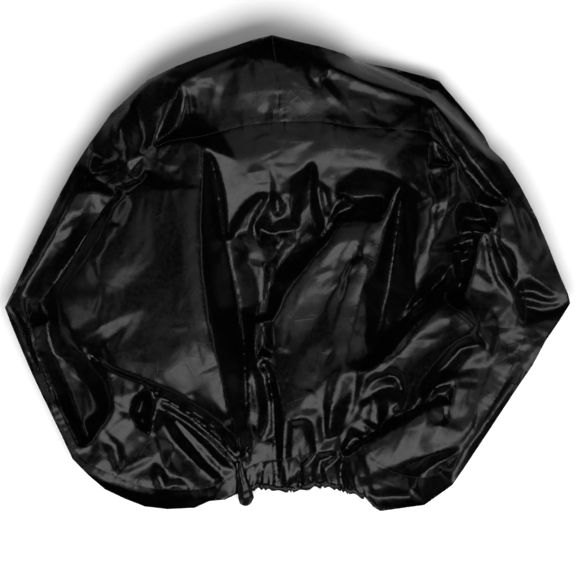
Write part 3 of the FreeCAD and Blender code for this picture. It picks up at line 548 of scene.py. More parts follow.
class Cloth:
    """The springs of the flat network, by which its heights are settled."""

    def __init__(self, points, triangles):
        self.count = len(points)
        self.spots = np.zeros(self.count)
        ends, stiffness = [], []
        for k in range(3):
            a, b, c = triangles[:, k], triangles[:, (k + 1) % 3], triangles[:, (k + 2) % 3]
            one, two = points[a] - points[c], points[b] - points[c]
            area = np.abs(one[:, 0] * two[:, 1] - one[:, 1] * two[:, 0])
            ends.append(np.sort(np.column_stack([a, b]), axis=1))
            slant = (one * two).sum(1) / np.maximum(area, 1e-12)
            stiffness.append(np.clip(slant, *SPRING_RANGE) / 2)
            self.spots += np.bincount(c, weights=area / 6, minlength=self.count)
        ends, stiffness = np.concatenate(ends), np.concatenate(stiffness)
        self.pairs, order = np.unique(ends, axis=0, return_inverse=True)
        self.springs = np.bincount(order.ravel(), weights=stiffness, minlength=len(self.pairs))
        self.springs = np.maximum(self.springs, WEAKEST_SPRING)
        self.total = np.bincount(self.pairs.ravel(), np.repeat(self.springs, 2), self.count)
        self.spots = np.maximum(self.spots, self.spots.mean() * SMALLEST_SPOT)

    def pull(self, heights):
        """How hard its neighbours pull each point down: nothing on a flat, level or sloping, facet."""
        first, second = self.pairs.T
        force = self.total * heights
        force -= np.bincount(first, self.springs * heights[second], self.count)
        return force - np.bincount(second, self.springs * heights[first], self.count)

    def settle(self, start, force, weight, wanted, rounds):
        """Solves force(heights) = wanted by conjugate gradients, from a start."""
        level = start.copy()
        residual = wanted - force(level)
        direction = residual / weight
        power = residual @ direction
        for _ in range(rounds):
            pushed = force(direction)
            gain = power / max(direction @ pushed, 1e-30)
            level += gain * direction
            residual -= gain * pushed
            eased = residual / weight
            new_power = residual @ eased
            if new_power < 1e-14:
                break
            direction = eased + direction * (new_power / power)
            power = new_power
        return level

    def drape(self, heights, hold):
        """Heights of cloth held at its folds: pulled taut between them, then stiffened, so that it
        bends least away from the folds."""
        known = ~np.isnan(heights)
        hold = np.where(known, hold, 0.0)
        wanted = hold * np.where(known, heights, 0.0)
        start = np.where(known, heights, np.nanmean(heights))
        weight = np.maximum(self.total + hold, NEAR_ZERO)
        taut = self.settle(start, lambda h: self.pull(h) + hold * h, weight, wanted, TAUT_ROUNDS)
        bends = np.where(known, 0.0, self.spots.mean() / self.spots)
        first, second = self.pairs.T
        weight = weight * TAUTNESS + bends * self.total**2
        weight += np.bincount(first, self.springs**2 * bends[second], self.count)
        weight += np.bincount(second, self.springs**2 * bends[first], self.count)

        def force(h):
            return TAUTNESS * self.pull(h) + self.pull(bends * self.pull(h)) + TAUTNESS * hold * h

        return self.settle(taut, force, weight, TAUTNESS * wanted, STIFF_ROUNDS)

    def relaxed(self, heights, still, rounds):
        """The heights after rounds of moving each point, but not the still ones, to its neighbours."""
        level = heights.copy()
        for _ in range(rounds):
            level -= EASE * self.pull(level) / np.maximum(self.total, NEAR_ZERO)
            level[still] = heights[still]
        return level


def over_facets(points, corners, tops, triangles, cell):
    """The height at each point of a surface of flat triangles; not a number outside it."""
    low = points.min(0)
    cells = {}
    for rank, key in enumerate(map(tuple, np.floor((points - low) / cell).astype(int))):
        cells.setdefault(key, []).append(rank)
    result = np.full(len(points), math.nan)
    for triangle in triangles:
        a, b, c = corners[list(triangle)]
        first = np.floor((np.minimum(np.minimum(a, b), c) - low) / cell).astype(int)
        last = np.floor((np.maximum(np.maximum(a, b), c) - low) / cell).astype(int)
        members = []
        for i in range(first[0], last[0] + 1):
            for j in range(first[1], last[1] + 1):
                members += cells.get((i, j), [])
        across = np.array([b - a, c - a]).T
        if not members or abs(np.linalg.det(across)) < 1e-12:
            continue
        members = np.array(members)
        shares = (points[members] - a) @ np.linalg.inv(across).T
        within = (shares >= -1e-6).all(1) & (shares.sum(1) <= 1 + 1e-6)
        values = tops[list(triangle)]
        result[members[within]] = values[0] + shares[within] @ (values[1:] - values[0])
    return result


KNOT_STRAYING = 0.48  # in steps of the knots' own grid


def facet_noise(points, size, seed):
    """A random faceted surface: heights of -1 to 1 at scattered points, straight between them."""
    random = np.random.default_rng(seed)
    low, high = points.min(0) - 2 * size, points.max(0) + 2 * size
    xs, ys = np.meshgrid(np.arange(low[0], high[0], size), np.arange(low[1], high[1], size))
    knots = np.stack([xs.ravel(), ys.ravel()], axis=1)
    knots += random.uniform(-KNOT_STRAYING, KNOT_STRAYING, knots.shape) * size
    tops = random.uniform(-1, 1, len(knots))
    found = delaunay_2d_cdt([Vector(p) for p in knots], [], [], 0, 1e-6, True)
    corners = np.array([tuple(p) for p in found[0]])
    tops = tops[[sources[0] for sources in found[3]]]
    return over_facets(points, corners, tops, found[2], size)


def flat_facets(points, heights):
    """The cloth as flat facets between the drawn folds. Where two folds cross, and outside the facets,
    it has the heights that are given."""
    net = Net()
    net.add_line(placed(OUTLINE), closed=True)
    for line in FOLDS.values():
        net.add_line(placed(line))
    corners, tops, triangles, _ = net.triangulate(placed(OUTLINE)[:, :2])
    tree = tree_of(points)
    for number in np.flatnonzero(np.isnan(tops)):
        tops[number] = heights[tree.find((*corners[number], 0))[1]]
    result = over_facets(points, corners, tops, triangles, FLAT_CELL)
    return np.where(np.isnan(result), heights, result)


def distance_to(points, line):
    """How far each point is from a line, and the number of the line's point nearest to it."""
    tree = tree_of(line)
    found = [tree.find((x, y, 0)) for x, y in points]
    return np.array([f[2] for f in found]), np.array([f[1] for f in found])


EDGE_LINE = placed(OUTLINE)
EDGE_LINE = stepped(np.concatenate([EDGE_LINE, EDGE_LINE[:1]]), GRAIN)[:-1]
SEAM_LINE = placed(FACE_SEAM)
SEAM_LINE = curved(np.concatenate([SEAM_LINE, SEAM_LINE[:1]]), GRAIN)[:-1]
CROWN_LINE = curved(placed(CROWN_SEAM), GRAIN)
MOUTH_LINE = curved(placed(MOUTH_SEAM), GRAIN)

SEAM_DIP = 0.0004
SEAM_WIDTH = 0.0022
PUCKER = 0.0003
PUCKER_REACH = 0.009
PUCKER_PITCH = 2.6  # in steps of the seam's line


def seam_shape(points, line, seed):
    """The valley that a seam makes in the cloth, and the puckers that run out of it."""
    gap, along = distance_to(points, line)
    dip = -SEAM_DIP * np.exp(-((gap / SEAM_WIDTH) ** 2))
    phase = along / PUCKER_PITCH + np.random.default_rng(seed).uniform(-0.8, 0.8, len(line))[along]
    return dip + PUCKER * np.exp(-gap / PUCKER_REACH) * np.sin(phase * 2 * math.pi)


WRINKLES = 560
WRINKLE_LENGTH = (0.025, 0.110)
WRINKLE_WIDTH = (0.004, 0.013)
WRINKLE_SLOPE = 0.18
WRINKLE_STRAY = 0.5  # how far, in radians, a wrinkle turns from the fold beside it
WRINKLE_TIP = 0.3  # how wide its ends are, as a share of its middle
WRINKLE_SEED = 17


def wrinkles(points, lines):
    """Straight creases strewn over the cloth, each roughly along the nearest fold: sharp along their
    tops and fading at their ends."""
    random = np.random.default_rng(WRINKLE_SEED)
    tree = tree_of(points)
    folds = tree_of(np.concatenate([line[:-1] for line in lines]))
    ways = np.concatenate([np.diff(line[:, :2], axis=0) for line in lines])
    total = np.zeros(len(points))
    low, high = points.min(0), points.max(0)
    for _ in range(WRINKLES):
        centre = random.uniform(low, high)
        way = ways[folds.find((centre[0], centre[1], 0))[1]]
        turn = math.atan2(way[1], way[0]) + random.normal(0, WRINKLE_STRAY)
        length = random.uniform(*WRINKLE_LENGTH) / 2
        width = random.uniform(*WRINKLE_WIDTH)
        height = width * WRINKLE_SLOPE * random.uniform(-1, 1)
        near = [found[1] for found in tree.find_range((centre[0], centre[1], 0), length + width)]
        if not near:
            continue
        off = points[near] - centre
        along = off[:, 0] * math.cos(turn) + off[:, 1] * math.sin(turn)
        across = off[:, 1] * math.cos(turn) - off[:, 0] * math.sin(turn)
        ends = 1 - smooth_step(np.abs(along) / length)
        reach = width * (WRINKLE_TIP + (1 - WRINKLE_TIP) * ends)
        total[near] += height * ends * np.clip(1 - np.abs(across) / reach, 0, 1)
    return total


FACET_CALM = placed([(-190, -10)])[0, :2]
FACET_REACH = np.array([95, 150]) * SCALE[:2]
CALM_SHARE = 0.3  # how much of the crumpling the big facet keeps
CALM_START = 0.2


def crumpling(points, lines):
    """Small facets all over, calm on the big flat facet, which is pulled taut."""
    off = (((points - FACET_CALM) / FACET_REACH) ** 2).sum(1)
    calm = CALM_SHARE + (1 - CALM_SHARE) * smooth_step(off - CALM_START)
    total = wrinkles(points, lines)
    for size, depth, seed in CRUMPLES:
        total += depth * facet_noise(points, size, seed)
    return total * calm


CASING_LOW, CASING_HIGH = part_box("hem_casing")
HEM_MIDDLE = np.array(((CASING_LOW + CASING_HIGH) / 2)[:2])
HEM_INSET = 0.006
HEM_RADIUS = (CASING_HIGH.x - CASING_LOW.x) / 2 - HEM_INSET
HEM_HEIGHT = 0.008
HEM_BACK = 0.001  # how far behind the outline, and below it, the hem is at the mouth's front
HEM_DROP = 0.003
MOUTH_ANGLE = math.radians(-86)
MOUTH_REACH = math.radians(15)
MOUTH_EASE = math.radians(10)


def mouth_share(flat):
    """How much a direction from the hem's middle belongs to the mouth's front, from 0 to 1."""
    away = flat - HEM_MIDDLE
    angle = np.arctan2(away[:, 1], away[:, 0])
    off = np.abs((angle - MOUTH_ANGLE + math.pi) % (2 * math.pi) - math.pi)
    return 1 - smooth_step((off - MOUTH_REACH) / MOUTH_EASE)


PLEATS = ((75, 0.015, 1.0, 0), (30, 0.030, 0.7, 1))  # round count, reach, wandering and phase
PLEAT_DEPTH = 0.0042
PLEAT_ROUNDNESS = 0.7
PLEAT_WANDER = 0.8


def hem_pleats(points):
    """Pleats that fan up from the gathered hem at the mouth's front."""
    gap, _ = distance_to(points, EDGE_LINE)
    away = points - HEM_MIDDLE
    angle = np.arctan2(away[:, 1], away[:, 0])
    drift = np.sin(np.linalg.norm(away, axis=1) * 60 + 3 * np.sin(angle * 19))
    drift *= PLEAT_WANDER * smooth_step(gap / 0.05)
    depth = np.zeros(len(points))
    for count, reach, wandering, phase in PLEATS:
        pleat = np.abs(np.sin(angle * count + drift * wandering + phase)) ** PLEAT_ROUNDNESS
        depth += PLEAT_DEPTH * pleat * np.exp(-gap / reach)
    return depth * mouth_share(points) * smooth_step(gap / 0.004 + 0.4)


def cloth_surface():
    """The top of the cover: points, heights, triangles, and the outline's points among them."""
    net = Net()
    net.add_line(EDGE_LINE, closed=True)
    net.add_line(SEAM_LINE, closed=True)
    net.add_line(CROWN_LINE)
    net.add_line(MOUTH_LINE)
    lines = [curved(placed(line), GRAIN) for line in FOLDS.values()]
    for line in lines:
        net.add_line(line)
    outline = EDGE_LINE[:, :2]
    net.fill(outline)
    points, heights, triangles, place = net.triangulate(outline)
    edge = place[: len(EDGE_LINE)]
    hold = np.full(len(points), HOLD)
    hold[edge] = EDGE_HOLD
    cloth = Cloth(points, triangles)
    heights = flat_facets(points, cloth.drape(heights, hold))
    broad = cloth.relaxed(heights, edge, CALM_ROUNDS)
    heights = cloth.relaxed(broad + RELIEF * (heights - broad), edge, EASING_ROUNDS)
    inwards = smooth_step(distance_to(points, EDGE_LINE)[0] / EDGE_MARGIN)
    rim = RIM_CRUMPLE * (1 - mouth_share(points))
    heights += (rim + (1 - rim) * inwards) * crumpling(points, lines)
    for line, seed in ((SEAM_LINE, 21), (CROWN_LINE, 22)):
        heights += inwards * seam_shape(points, line, seed)
    heights += hem_pleats(points)
    return points, heights, triangles, edge


FAR = 900  # millimetres, well outside the cover


def left_half(points):
    """Which points lie left of the crown's and the mouth's seams."""
    far = placed([(-FAR, -FAR), (-FAR, FAR)])
    return inside(points, np.concatenate([CROWN_LINE, MOUTH_LINE, far])[:, :2])


def split_cloth(points, triangles):
    """Which triangles are the face, the left of the band and the right of the band."""
    middles = points[triangles].mean(1)
    face = inside(middles, SEAM_LINE[:, :2])
    left = left_half(middles)
    return face, ~face & left, ~face & ~left


def mesh_piece(name, points, faces, smooth=True):
    """A mesh object in the scene."""
    mesh = bpy.data.meshes.new(name)
    mesh.from_pydata([tuple(p) for p in points], [], [tuple(int(k) for k in f) for f in faces])
    mesh.update()
    piece = bpy.data.objects.new(name, mesh)
    bpy.context.scene.collection.objects.link(piece)
    for polygon in mesh.polygons:
        polygon.use_smooth = smooth
    return piece


def used_only(vertices, faces):
    """The vertices that the faces use, and the faces renumbered to them."""
    used = sorted({k for face in faces for k in face})
    place = {old: new for new, old in enumerate(used)}
    return [vertices[k] for k in used], [tuple(place[k] for k in face) for face in faces]


UNDER_ROWS = 24
UNDER_PLEATS = 112
UNDER_LEVEL = 0.0022
UNDER_WAVE = 0.009
WALL_BEND = (0.005, 0.009)  # how far in the wall is down to a third of its height: least, and range
WALL_CREASES = ((23, 0.0075), (57, 0.0035))  # how many creases go round the wall, and their depth
WALL_SLANT = 1.6


def hem_path(edge):
    """The hem's point in the direction of each point of the outline: a ring under the cover that
    comes out to the outline at the mouth's front."""
    away = edge[:, :2] - HEM_MIDDLE
    reach = np.linalg.norm(away, axis=1)
    front = mouth_share(edge[:, :2])
    radius = HEM_RADIUS * (1 - front) + (reach - HEM_BACK) * front
    flat = HEM_MIDDLE + away / reach[:, None] * radius[:, None]
    height = HEM_HEIGHT + front * (edge[:, 2] - HEM_HEIGHT - HEM_DROP)
    return np.column_stack([flat, height]), front


def uneven(turn, count, drift, drifts):
    """Waves round the cover, so many of them, bunched by a slower wave."""
    return np.sin(turn * count + drift * np.sin(turn * drifts))


def under_layer(edge):
    """Rows of points from the outline, under the cover along the floor, to the hem."""
    hem, front = hem_path(edge)
    inwards = hem[:, :2] - edge[:, :2]
    width = np.maximum(np.linalg.norm(inwards, axis=1), NEAR_ZERO)
    inwards = inwards / width[:, None]
    turn = np.arange(len(edge)) / len(edge) * 2 * math.pi
    wave = 0.5 + 0.5 * uneven(turn, UNDER_PLEATS, 3, 5)
    bend = WALL_BEND[0] + WALL_BEND[1] * (0.5 + 0.5 * uneven(turn, 17, 4, 3))
    rows = []
    for number in range(1, UNDER_ROWS):
        share = (number / (UNDER_ROWS - 1)) ** 2
        distance = width * share
        fall = np.exp(-distance / bend)
        creased = np.zeros(len(edge))
        for count, depth in WALL_CREASES:
            slant = WALL_SLANT * fall * np.sin(turn * 9 + count)
            creased += depth * np.abs(np.sin(turn * count + 2 * np.sin(turn * 7) + slant))
        sunk = creased * np.sin(math.pi * fall) * (1 - share) * (1 - front)
        level = UNDER_LEVEL + (edge[:, 2] - UNDER_LEVEL) * fall * (1 - share)
        level += UNDER_WAVE * wave * smooth_step(share * 1.7) * (1 - front)
        level = level * (1 - share**6) + hem[:, 2] * share**6
        flat = edge[:, :2] + inwards * (distance + sunk)[:, None]
        rows.append(np.column_stack([flat, level]))
    return rows, hem


def band_piece(name, whole, triangles, edge, under, sides):
    """One length of the band: its part of the top, and the layer turned under it."""
    faces = [tuple(t) for t in triangles]
    vertices = [tuple(p) for p in whole]
    start, count = len(vertices), len(edge)
    for row in under:
        vertices += [tuple(p) for p in row]
    for k in np.flatnonzero(sides):
        following = (k + 1) % count
        upper, upper_next = edge[k], edge[following]
        for number in range(len(under)):
            lower = start + number * count + k
            lower_next = start + number * count + following
            faces.append((upper, lower, lower_next, upper_next))
            upper, upper_next = lower, lower_next
    return mesh_piece(name, *used_only(vertices, faces))


def give_thickness(piece):
    """Makes a sheet as thick as the cloth."""
    solid = piece.modifiers.new("cloth", "SOLIDIFY")
    solid.thickness = CLOTH
    solid.offset = -1
    with bpy.context.temp_override(object=piece, active_object=piece):
        bpy.ops.object.modifier_apply(modifier="cloth")
    piece.data.set_sharp_from_angle(angle=SHARP)


class Ground:
    """The top of the cover as a surface that stitches are laid on."""

    def __init__(self, whole, triangles):
        corners = [Vector(p) for p in whole]
        self.tree = BVHTree.FromPolygons(corners, [tuple(int(k) for k in t) for t in triangles])

    def laid(self, line, lift):
        """Places on the cover under a line's points, and the cover's normals there."""
        places, ups = [], []
        for point in line:
            above = Vector((point[0], point[1], 1))
            place, normal, _, _ = self.tree.ray_cast(above, Vector((0, 0, -1)))
            if place is not None:
                normal = normal if normal.z > 0 else -normal
                places.append(place + normal * lift)
                ups.append(normal)
        return np.array(places), np.array(ups)


STITCH_PITCH = 0.0038
STITCH_LENGTH = 0.0028
STITCH_RADIUS = 0.00034
STITCH_SIDES = 6
STITCH_SWELLS = (0.5, 1.0, 0.5)  # how thick its two ends and its middle are
STITCH_LIFTS = (-0.4, 0.4, -0.4)


def stitch_row(name, places, ups):
    """A row of lockstitches along places: short round threads that sink in at their ends."""
    vertices, faces = [], []
    lengths = np.linalg.norm(np.diff(places, axis=0), axis=1)
    along = np.concatenate([[0], np.cumsum(lengths)])
    for middle in np.arange(STITCH_PITCH / 2, along[-1], STITCH_PITCH):
        ends = [middle - STITCH_LENGTH / 2, middle, middle + STITCH_LENGTH / 2]
        line = np.array([[np.interp(s, along, places[:, k]) for k in range(3)] for s in ends])
        up = np.array([np.interp(middle, along, ups[:, k]) for k in range(3)])
        up /= max(np.linalg.norm(up), NEAR_ZERO)
        way = line[2] - line[0]
        if np.linalg.norm(way) < STITCH_LENGTH / 2:
            continue
        across = np.cross(way / np.linalg.norm(way), up)
        first = len(vertices)
        for centre, swell, lift in zip(line, STITCH_SWELLS, STITCH_LIFTS):
            for k in range(STITCH_SIDES):
                turn = 2 * math.pi * k / STITCH_SIDES
                ring = across * math.cos(turn) * swell + up * (math.sin(turn) * swell + lift)
                vertices.append(centre + ring * STITCH_RADIUS)
        for low in (first, first + STITCH_SIDES):
            for k in range(STITCH_SIDES):
                a, b = low + k, low + (k + 1) % STITCH_SIDES
                faces.append((a, b, b + STITCH_SIDES, a + STITCH_SIDES))
        faces.append(tuple(first + k for k in reversed(range(STITCH_SIDES))))
        faces.append(tuple(first + 2 * STITCH_SIDES + k for k in range(STITCH_SIDES)))
    return mesh_piece(name, vertices, faces)


def swept_loop(name, path, outs, profile, closed_profile):
    """A profile carried round a closed path: profile(k) gives its (out, up) offsets at point k."""
    count = len(path)
    vertices, faces = [], []
    for k in range(count):
        for out, up in profile(k):
            vertices.append(path[k] + outs[k] * out + np.array([0, 0, up]))
    width = len(vertices) // count
    for k in range(count):
        here, there = k * width, (k + 1) % count * width
        for j in range(width if closed_profile else width - 1):
            following = (j + 1) % width
            faces.append((here + j, here + following, there + following, there + j))
    return mesh_piece(name, vertices, faces)


RUFFLE_PITCH = 0.0078
RUFFLE_DEPTH = 0.0026
RUFFLE_SWELL = (0.5, 1.3)
RUFFLE_SEED = 31
RUFFLE_TURN = (-0.42, 1.42)  # in half turns, where the turned-over hem starts and ends
RUFFLE_POINTS = 9
TUCK = 0.8
LIFT = 0.9
HEM_STEP = 0.0013
HEM_ROUNDS = 12
CASING_HALF = 0.0055
CASING_THICK = 0.0028


def hem_loop(hem):
    """The hem's path in even steps, and the direction outwards at each."""
    loop = np.concatenate([hem, hem[:1]])
    lengths = np.linalg.norm(np.diff(loop, axis=0), axis=1)
    along = np.concatenate([[0], np.cumsum(lengths)])
    steps = np.arange(0, along[-1], HEM_STEP)
    path = np.array([[np.interp(s, along, loop[:, k]) for k in range(3)] for s in steps])
    for _ in range(HEM_ROUNDS):
        path = (np.roll(path, 1, axis=0) + 2 * path + np.roll(path, -1, axis=0)) / 4
    away = path[:, :2] - HEM_MIDDLE
    outs = np.zeros_like(path)
    outs[:, :2] = away / np.linalg.norm(away, axis=1)[:, None]
    return path, outs, along[-1]


def hem_ruffle(path, outs, length):
    """The turned-over hem, gathered on its elastic into uneven ruffles."""
    random = np.random.default_rng(RUFFLE_SEED)
    count = len(path)
    ruffles = int(length / RUFFLE_PITCH)
    knots = np.sort(random.uniform(0, count, ruffles))
    phase = np.interp(np.arange(count), knots, np.arange(ruffles)) * 2 * math.pi
    swell = np.interp(np.arange(count), knots, random.uniform(*RUFFLE_SWELL, ruffles))

    def profile(k):
        lift = RUFFLE_DEPTH * swell[k] * math.sin(phase[k])
        tuck = RUFFLE_DEPTH * TUCK * swell[k] * math.sin(phase[k] + 1.2)
        for turn in np.linspace(*RUFFLE_TURN, RUFFLE_POINTS) * math.pi:
            out = (CASING_HALF + tuck) * math.cos(turn)
            up = CASING_THICK * math.sin(turn) + LIFT * lift * (0.5 - 0.5 * math.cos(turn))
            yield out, up

    return swept_loop("hem_ruffle", path, outs, profile, closed_profile=False)


ELASTIC_HALF_WIDTH = 0.0028
ELASTIC_HALF_HEIGHT = 0.0005
ELASTIC_RIB = 0.00012


def elastic_loop(path, outs):
    """The flat ribbed elastic inside the hem."""

    def profile(k):
        half_height = ELASTIC_HALF_HEIGHT + ELASTIC_RIB * math.sin(k * 1.9)
        for side, level in SQUARE:
            yield side * ELASTIC_HALF_WIDTH, level * half_height

    return swept_loop("elastic_loop", path, outs, profile, closed_profile=True)


TAB_PATH = placed([
    (-69, -268, 30), (-66, -286, 28), (-61, -304, 25), (-59, -318, 22), (-60, -331, 17),
])
TAB_HALF_WIDTHS = (0.0050, 0.0070, 0.0100, 0.0112, 0.0080)
TAB_RISE = 0.0045
TAB_GAP = 0.0016  # half of what lies between its two layers
TAB_CREASE = 0.0010
TAB_RIPPLE = 0.0004
TAB_END = 0.0035  # how far its corners are drawn back
TAB_POINTS = (17, 60)  # across it, and out along one layer and back along the other


def hem_tab():
    """The short end of the hem, folded over on itself and hanging at the left of the mouth."""
    across, along = TAB_POINTS
    knots = np.linspace(0, 1, len(TAB_PATH))
    vertices, faces = [], []
    for i in range(along):
        turn = i / (along - 1)
        out = 1 - abs(2 * turn - 1)
        side = 1 if turn < 0.5 else -1
        centre = np.array([np.interp(out, knots, TAB_PATH[:, k]) for k in range(3)])
        half_width = np.interp(out, knots, TAB_HALF_WIDTHS)
        for j in range(across):
            share = 2 * j / (across - 1) - 1
            arch = TAB_RISE * (1 - share**2) * (0.55 + 0.45 * math.sin(out * 2.6))
            crease = TAB_CREASE * abs(math.sin(share * 4.5 + out * 1.5))
            crease += TAB_RIPPLE * math.sin(out * 31 + share * 3)
            gap = TAB_GAP * math.sqrt(max(0.0, 1 - out**6)) * side
            end = TAB_END * share**2 * smooth_step((out - 0.7) / 0.3)
            drop = 0.6 * arch if side < 0 else 0.0
            vertices.append(centre + np.array([share * half_width, end, arch - drop - crease + gap]))
    for i in range(along - 1):
        for j in range(across - 1):
            a = i * across + j
            faces.append((a, a + 1, a + across + 1, a + across))
    return mesh_piece("hem_tab_fold", vertices, faces)


TACK_STEPS = (-4, 0, 4)  # in steps of the hem's path
TACK_THREADS = 9
TACK_PITCH = 0.0006
TACK_LIFT = 0.0007
TACK_HALF_LENGTH = 0.0007
TACK_HALF_WIDTH = 0.0002
TACK_HALF_HEIGHT = 0.00025


def bar_tacks(path, outs):
    """Three bar tacks across the elastic, where its two ends lap at the mouth's front."""
    front = int(np.argmin(path[:, 1]))
    vertices, faces = [], []
    out = outs[front]
    side = np.cross(out, [0, 0, 1])
    for step in TACK_STEPS:
        place = path[(front + step) % len(path)] + np.array([0, 0, TACK_LIFT])
        for number in range(TACK_THREADS):
            middle = place + out * (number - TACK_THREADS // 2) * TACK_PITCH
            first = len(vertices)
            for a, b in SQUARE:
                corner = middle + side * a * TACK_HALF_LENGTH + out * b * TACK_HALF_WIDTH
                for up in (-TACK_HALF_HEIGHT, TACK_HALF_HEIGHT):
                    vertices.append(corner + np.array([0, 0, up]))
            for j in range(4):
                a, b = first + 2 * j, first + 2 * ((j + 1) % 4)
                faces.append((a, b, b + 1, a + 1))
            faces.append((first, first + 6, first + 4, first + 2))
            faces.append((first + 1, first + 3, first + 5, first + 7))
    return mesh_piece("elastic_tacks", vertices, faces)


class Nodes:
    """A material's node tree, with short ways to add and join nodes."""

    def __init__(self, name, colour, roughness):
        self.material = bpy.data.materials.new(name)
        self.material.use_nodes = True
        self.tree = self.material.node_tree
        self.shader = self.tree.nodes["Principled BSDF"]
        self.shader.inputs["Base Color"].default_value = (*colour, 1)
        self.shader.inputs["Roughness"].default_value = roughness
        self.place = self.add("ShaderNodeTexCoord").outputs["Object"]

    def add(self, kind, **settings):
        node = self.tree.nodes.new(kind)
        for name, value in settings.items():
            setattr(node, name, value)
        return node

    def join(self, source, target):
        self.tree.links.new(source, target)

    def feed(self, name, source):
        """Joins a socket to one of the shader's inputs."""
        self.join(source, self.shader.inputs[name])

    def texture(self, kind, output, place=None, settings=(), **inputs):
        node = self.add(kind, **dict(settings))
        for name, value in inputs.items():
            node.inputs[name.replace("_", " ")].default_value = value
        self.join(place or self.place, node.inputs["Vector"])
        return node.outputs[output]

    def noise(self, scale, detail=2.0, output="Fac", place=None):
        return self.texture("ShaderNodeTexNoise", output, place, Scale=scale, Detail=detail)

    def wave(self, kind, direction, **inputs):
        settings = {"wave_type": kind, f"{kind.lower()}_direction": direction, "wave_profile": "SIN"}
        return self.texture("ShaderNodeTexWave", "Fac", settings=settings, **inputs)

    def ranged(self, value, *ends):
        """The value, taken from the range of the first two ends to that of the last two."""
        node = self.add("ShaderNodeMapRange")
        for name, number in zip(("From Min", "From Max", "To Min", "To Max"), ends):
            node.inputs[name].default_value = number
        self.join(value, node.inputs["Value"])
        return node.outputs["Result"]

    def maths(self, operation, a, b):
        node = self.add("ShaderNodeMath", operation=operation)
        for socket, value in zip(node.inputs, (a, b)):
            if isinstance(value, (int, float)):
                socket.default_value = value
            else:
                self.join(value, socket)
        return node.outputs["Value"]

    def mixed(self, share, first, second):
        node = self.add("ShaderNodeMix", data_type="RGBA")
        node.inputs[6].default_value = (*first, 1)
        node.inputs[7].default_value = (*second, 1)
        self.join(share, node.inputs["Factor"])
        return node.outputs[2]

    def bump(self, height, distance, normal=None):
        node = self.add("ShaderNodeBump")
        node.inputs["Strength"].default_value = 1.0
        node.inputs["Distance"].default_value = distance
        self.join(height, node.inputs["Height"])
        if normal is not None:
            self.join(normal, node.inputs["Normal"])
        return node.outputs["Normal"]


def weave(nodes, pitch):
    """The height of a plain weave: threads over and under each other along X and Y."""
    scale = math.pi / (10 * pitch)
    threads = [nodes.wave("BANDS", way, Scale=scale, Distortion=0.6, Detail=1.0) for way in ("X", "Y")]
    return nodes.maths("MULTIPLY", *threads)


CRINKLE_BEND = 1.6  # how far noise bends the crinkles, in their own widths


def crinkles(nodes, scale, shift):
    """Sharp little creases between flat facets, as in crumpled foil."""
    mapping = nodes.add("ShaderNodeMapping")
    mapping.inputs["Location"].default_value = (shift, shift * 0.7, 0)
    nodes.join(nodes.place, mapping.inputs["Vector"])
    moved = mapping.outputs["Vector"]
    bend = nodes.add("ShaderNodeVectorMath", operation="MULTIPLY_ADD")
    bend.inputs[1].default_value = (CRINKLE_BEND / scale,) * 3
    nodes.join(nodes.noise(scale / 3, output="Color", place=moved), bend.inputs[0])
    nodes.join(moved, bend.inputs[2])
    settings = {"feature": "F1", "distance": "EUCLIDEAN"}
    bent = bend.outputs["Vector"]
    return nodes.texture("ShaderNodeTexVoronoi", "Distance", bent, settings=settings, Scale=scale)


CREASE_WIDTH = 0.06  # in the width of a cell
CREASE_PATCHES = (0.48, 0.62)  # the noise at which the creases start, and are whole


def fine_creases(nodes, scale):
    """Hair-fine creases that come and go over the cloth."""
    settings = {"feature": "DISTANCE_TO_EDGE"}
    cells = nodes.texture("ShaderNodeTexVoronoi", "Distance", settings=settings, Scale=scale, Randomness=1.0)
    lines = nodes.ranged(cells, 0.0, CREASE_WIDTH, 1.0, 0.0)
    here = nodes.ranged(nodes.noise(scale * 0.5), *CREASE_PATCHES, 0.0, 1.0)
    return nodes.maths("MULTIPLY", lines, here)


WEAVE_PITCH = 0.0006
WEAVE_DEPTH = 0.000012
SLUB_SCALE = 420.0
SLUB_DEPTH = 0.00003
CREASES = (34.0, 0.00012)  # scale and depth
CRINKLES = ((46.0, 3.1, 0.0002), (120.0, 7.7, 0.00006))  # scale, shift and depth
DUST_RANGE = (0.18, 0.42)
ROUGH_RANGE = (0.35, 0.65)
ROUGH_SPREAD = (-0.06, 0.08)
CLOTH_SHINE = {
    "Specular IOR Level": 0.12,
    "Sheen Weight": 0.003,
    "Sheen Roughness": 0.4,
    "Coat Weight": 0.08,
    "Coat Roughness": 0.2,
}


def cloth_material(name, colour, worn, roughness):
    """Thin black taffeta with a glossy coating: creased, a little dusty, finely woven."""
    nodes = Nodes(name, colour, roughness)
    wide = nodes.noise(9.0, 3.0)
    fine = nodes.noise(160.0, 4.0)
    dusty = nodes.ranged(nodes.maths("MULTIPLY", wide, fine), *DUST_RANGE, 0.0, 1.0)
    nodes.feed("Base Color", nodes.mixed(dusty, colour, worn))
    spread = nodes.maths("ADD", nodes.maths("MULTIPLY", wide, 0.5), nodes.maths("MULTIPLY", fine, 0.5))
    least, most = (roughness + change for change in ROUGH_SPREAD)
    nodes.feed("Roughness", nodes.ranged(spread, *ROUGH_RANGE, least, most))
    scale, depth = CREASES
    relief = nodes.bump(fine_creases(nodes, scale), depth)
    for scale, shift, depth in CRINKLES:
        relief = nodes.bump(crinkles(nodes, scale, shift), depth, relief)
    relief = nodes.bump(nodes.noise(SLUB_SCALE, 3.0), SLUB_DEPTH, relief)
    nodes.feed("Normal", nodes.bump(weave(nodes, WEAVE_PITCH), WEAVE_DEPTH, relief))
    for socket, value in CLOTH_SHINE.items():
        nodes.shader.inputs[socket].default_value = value
    return nodes.material


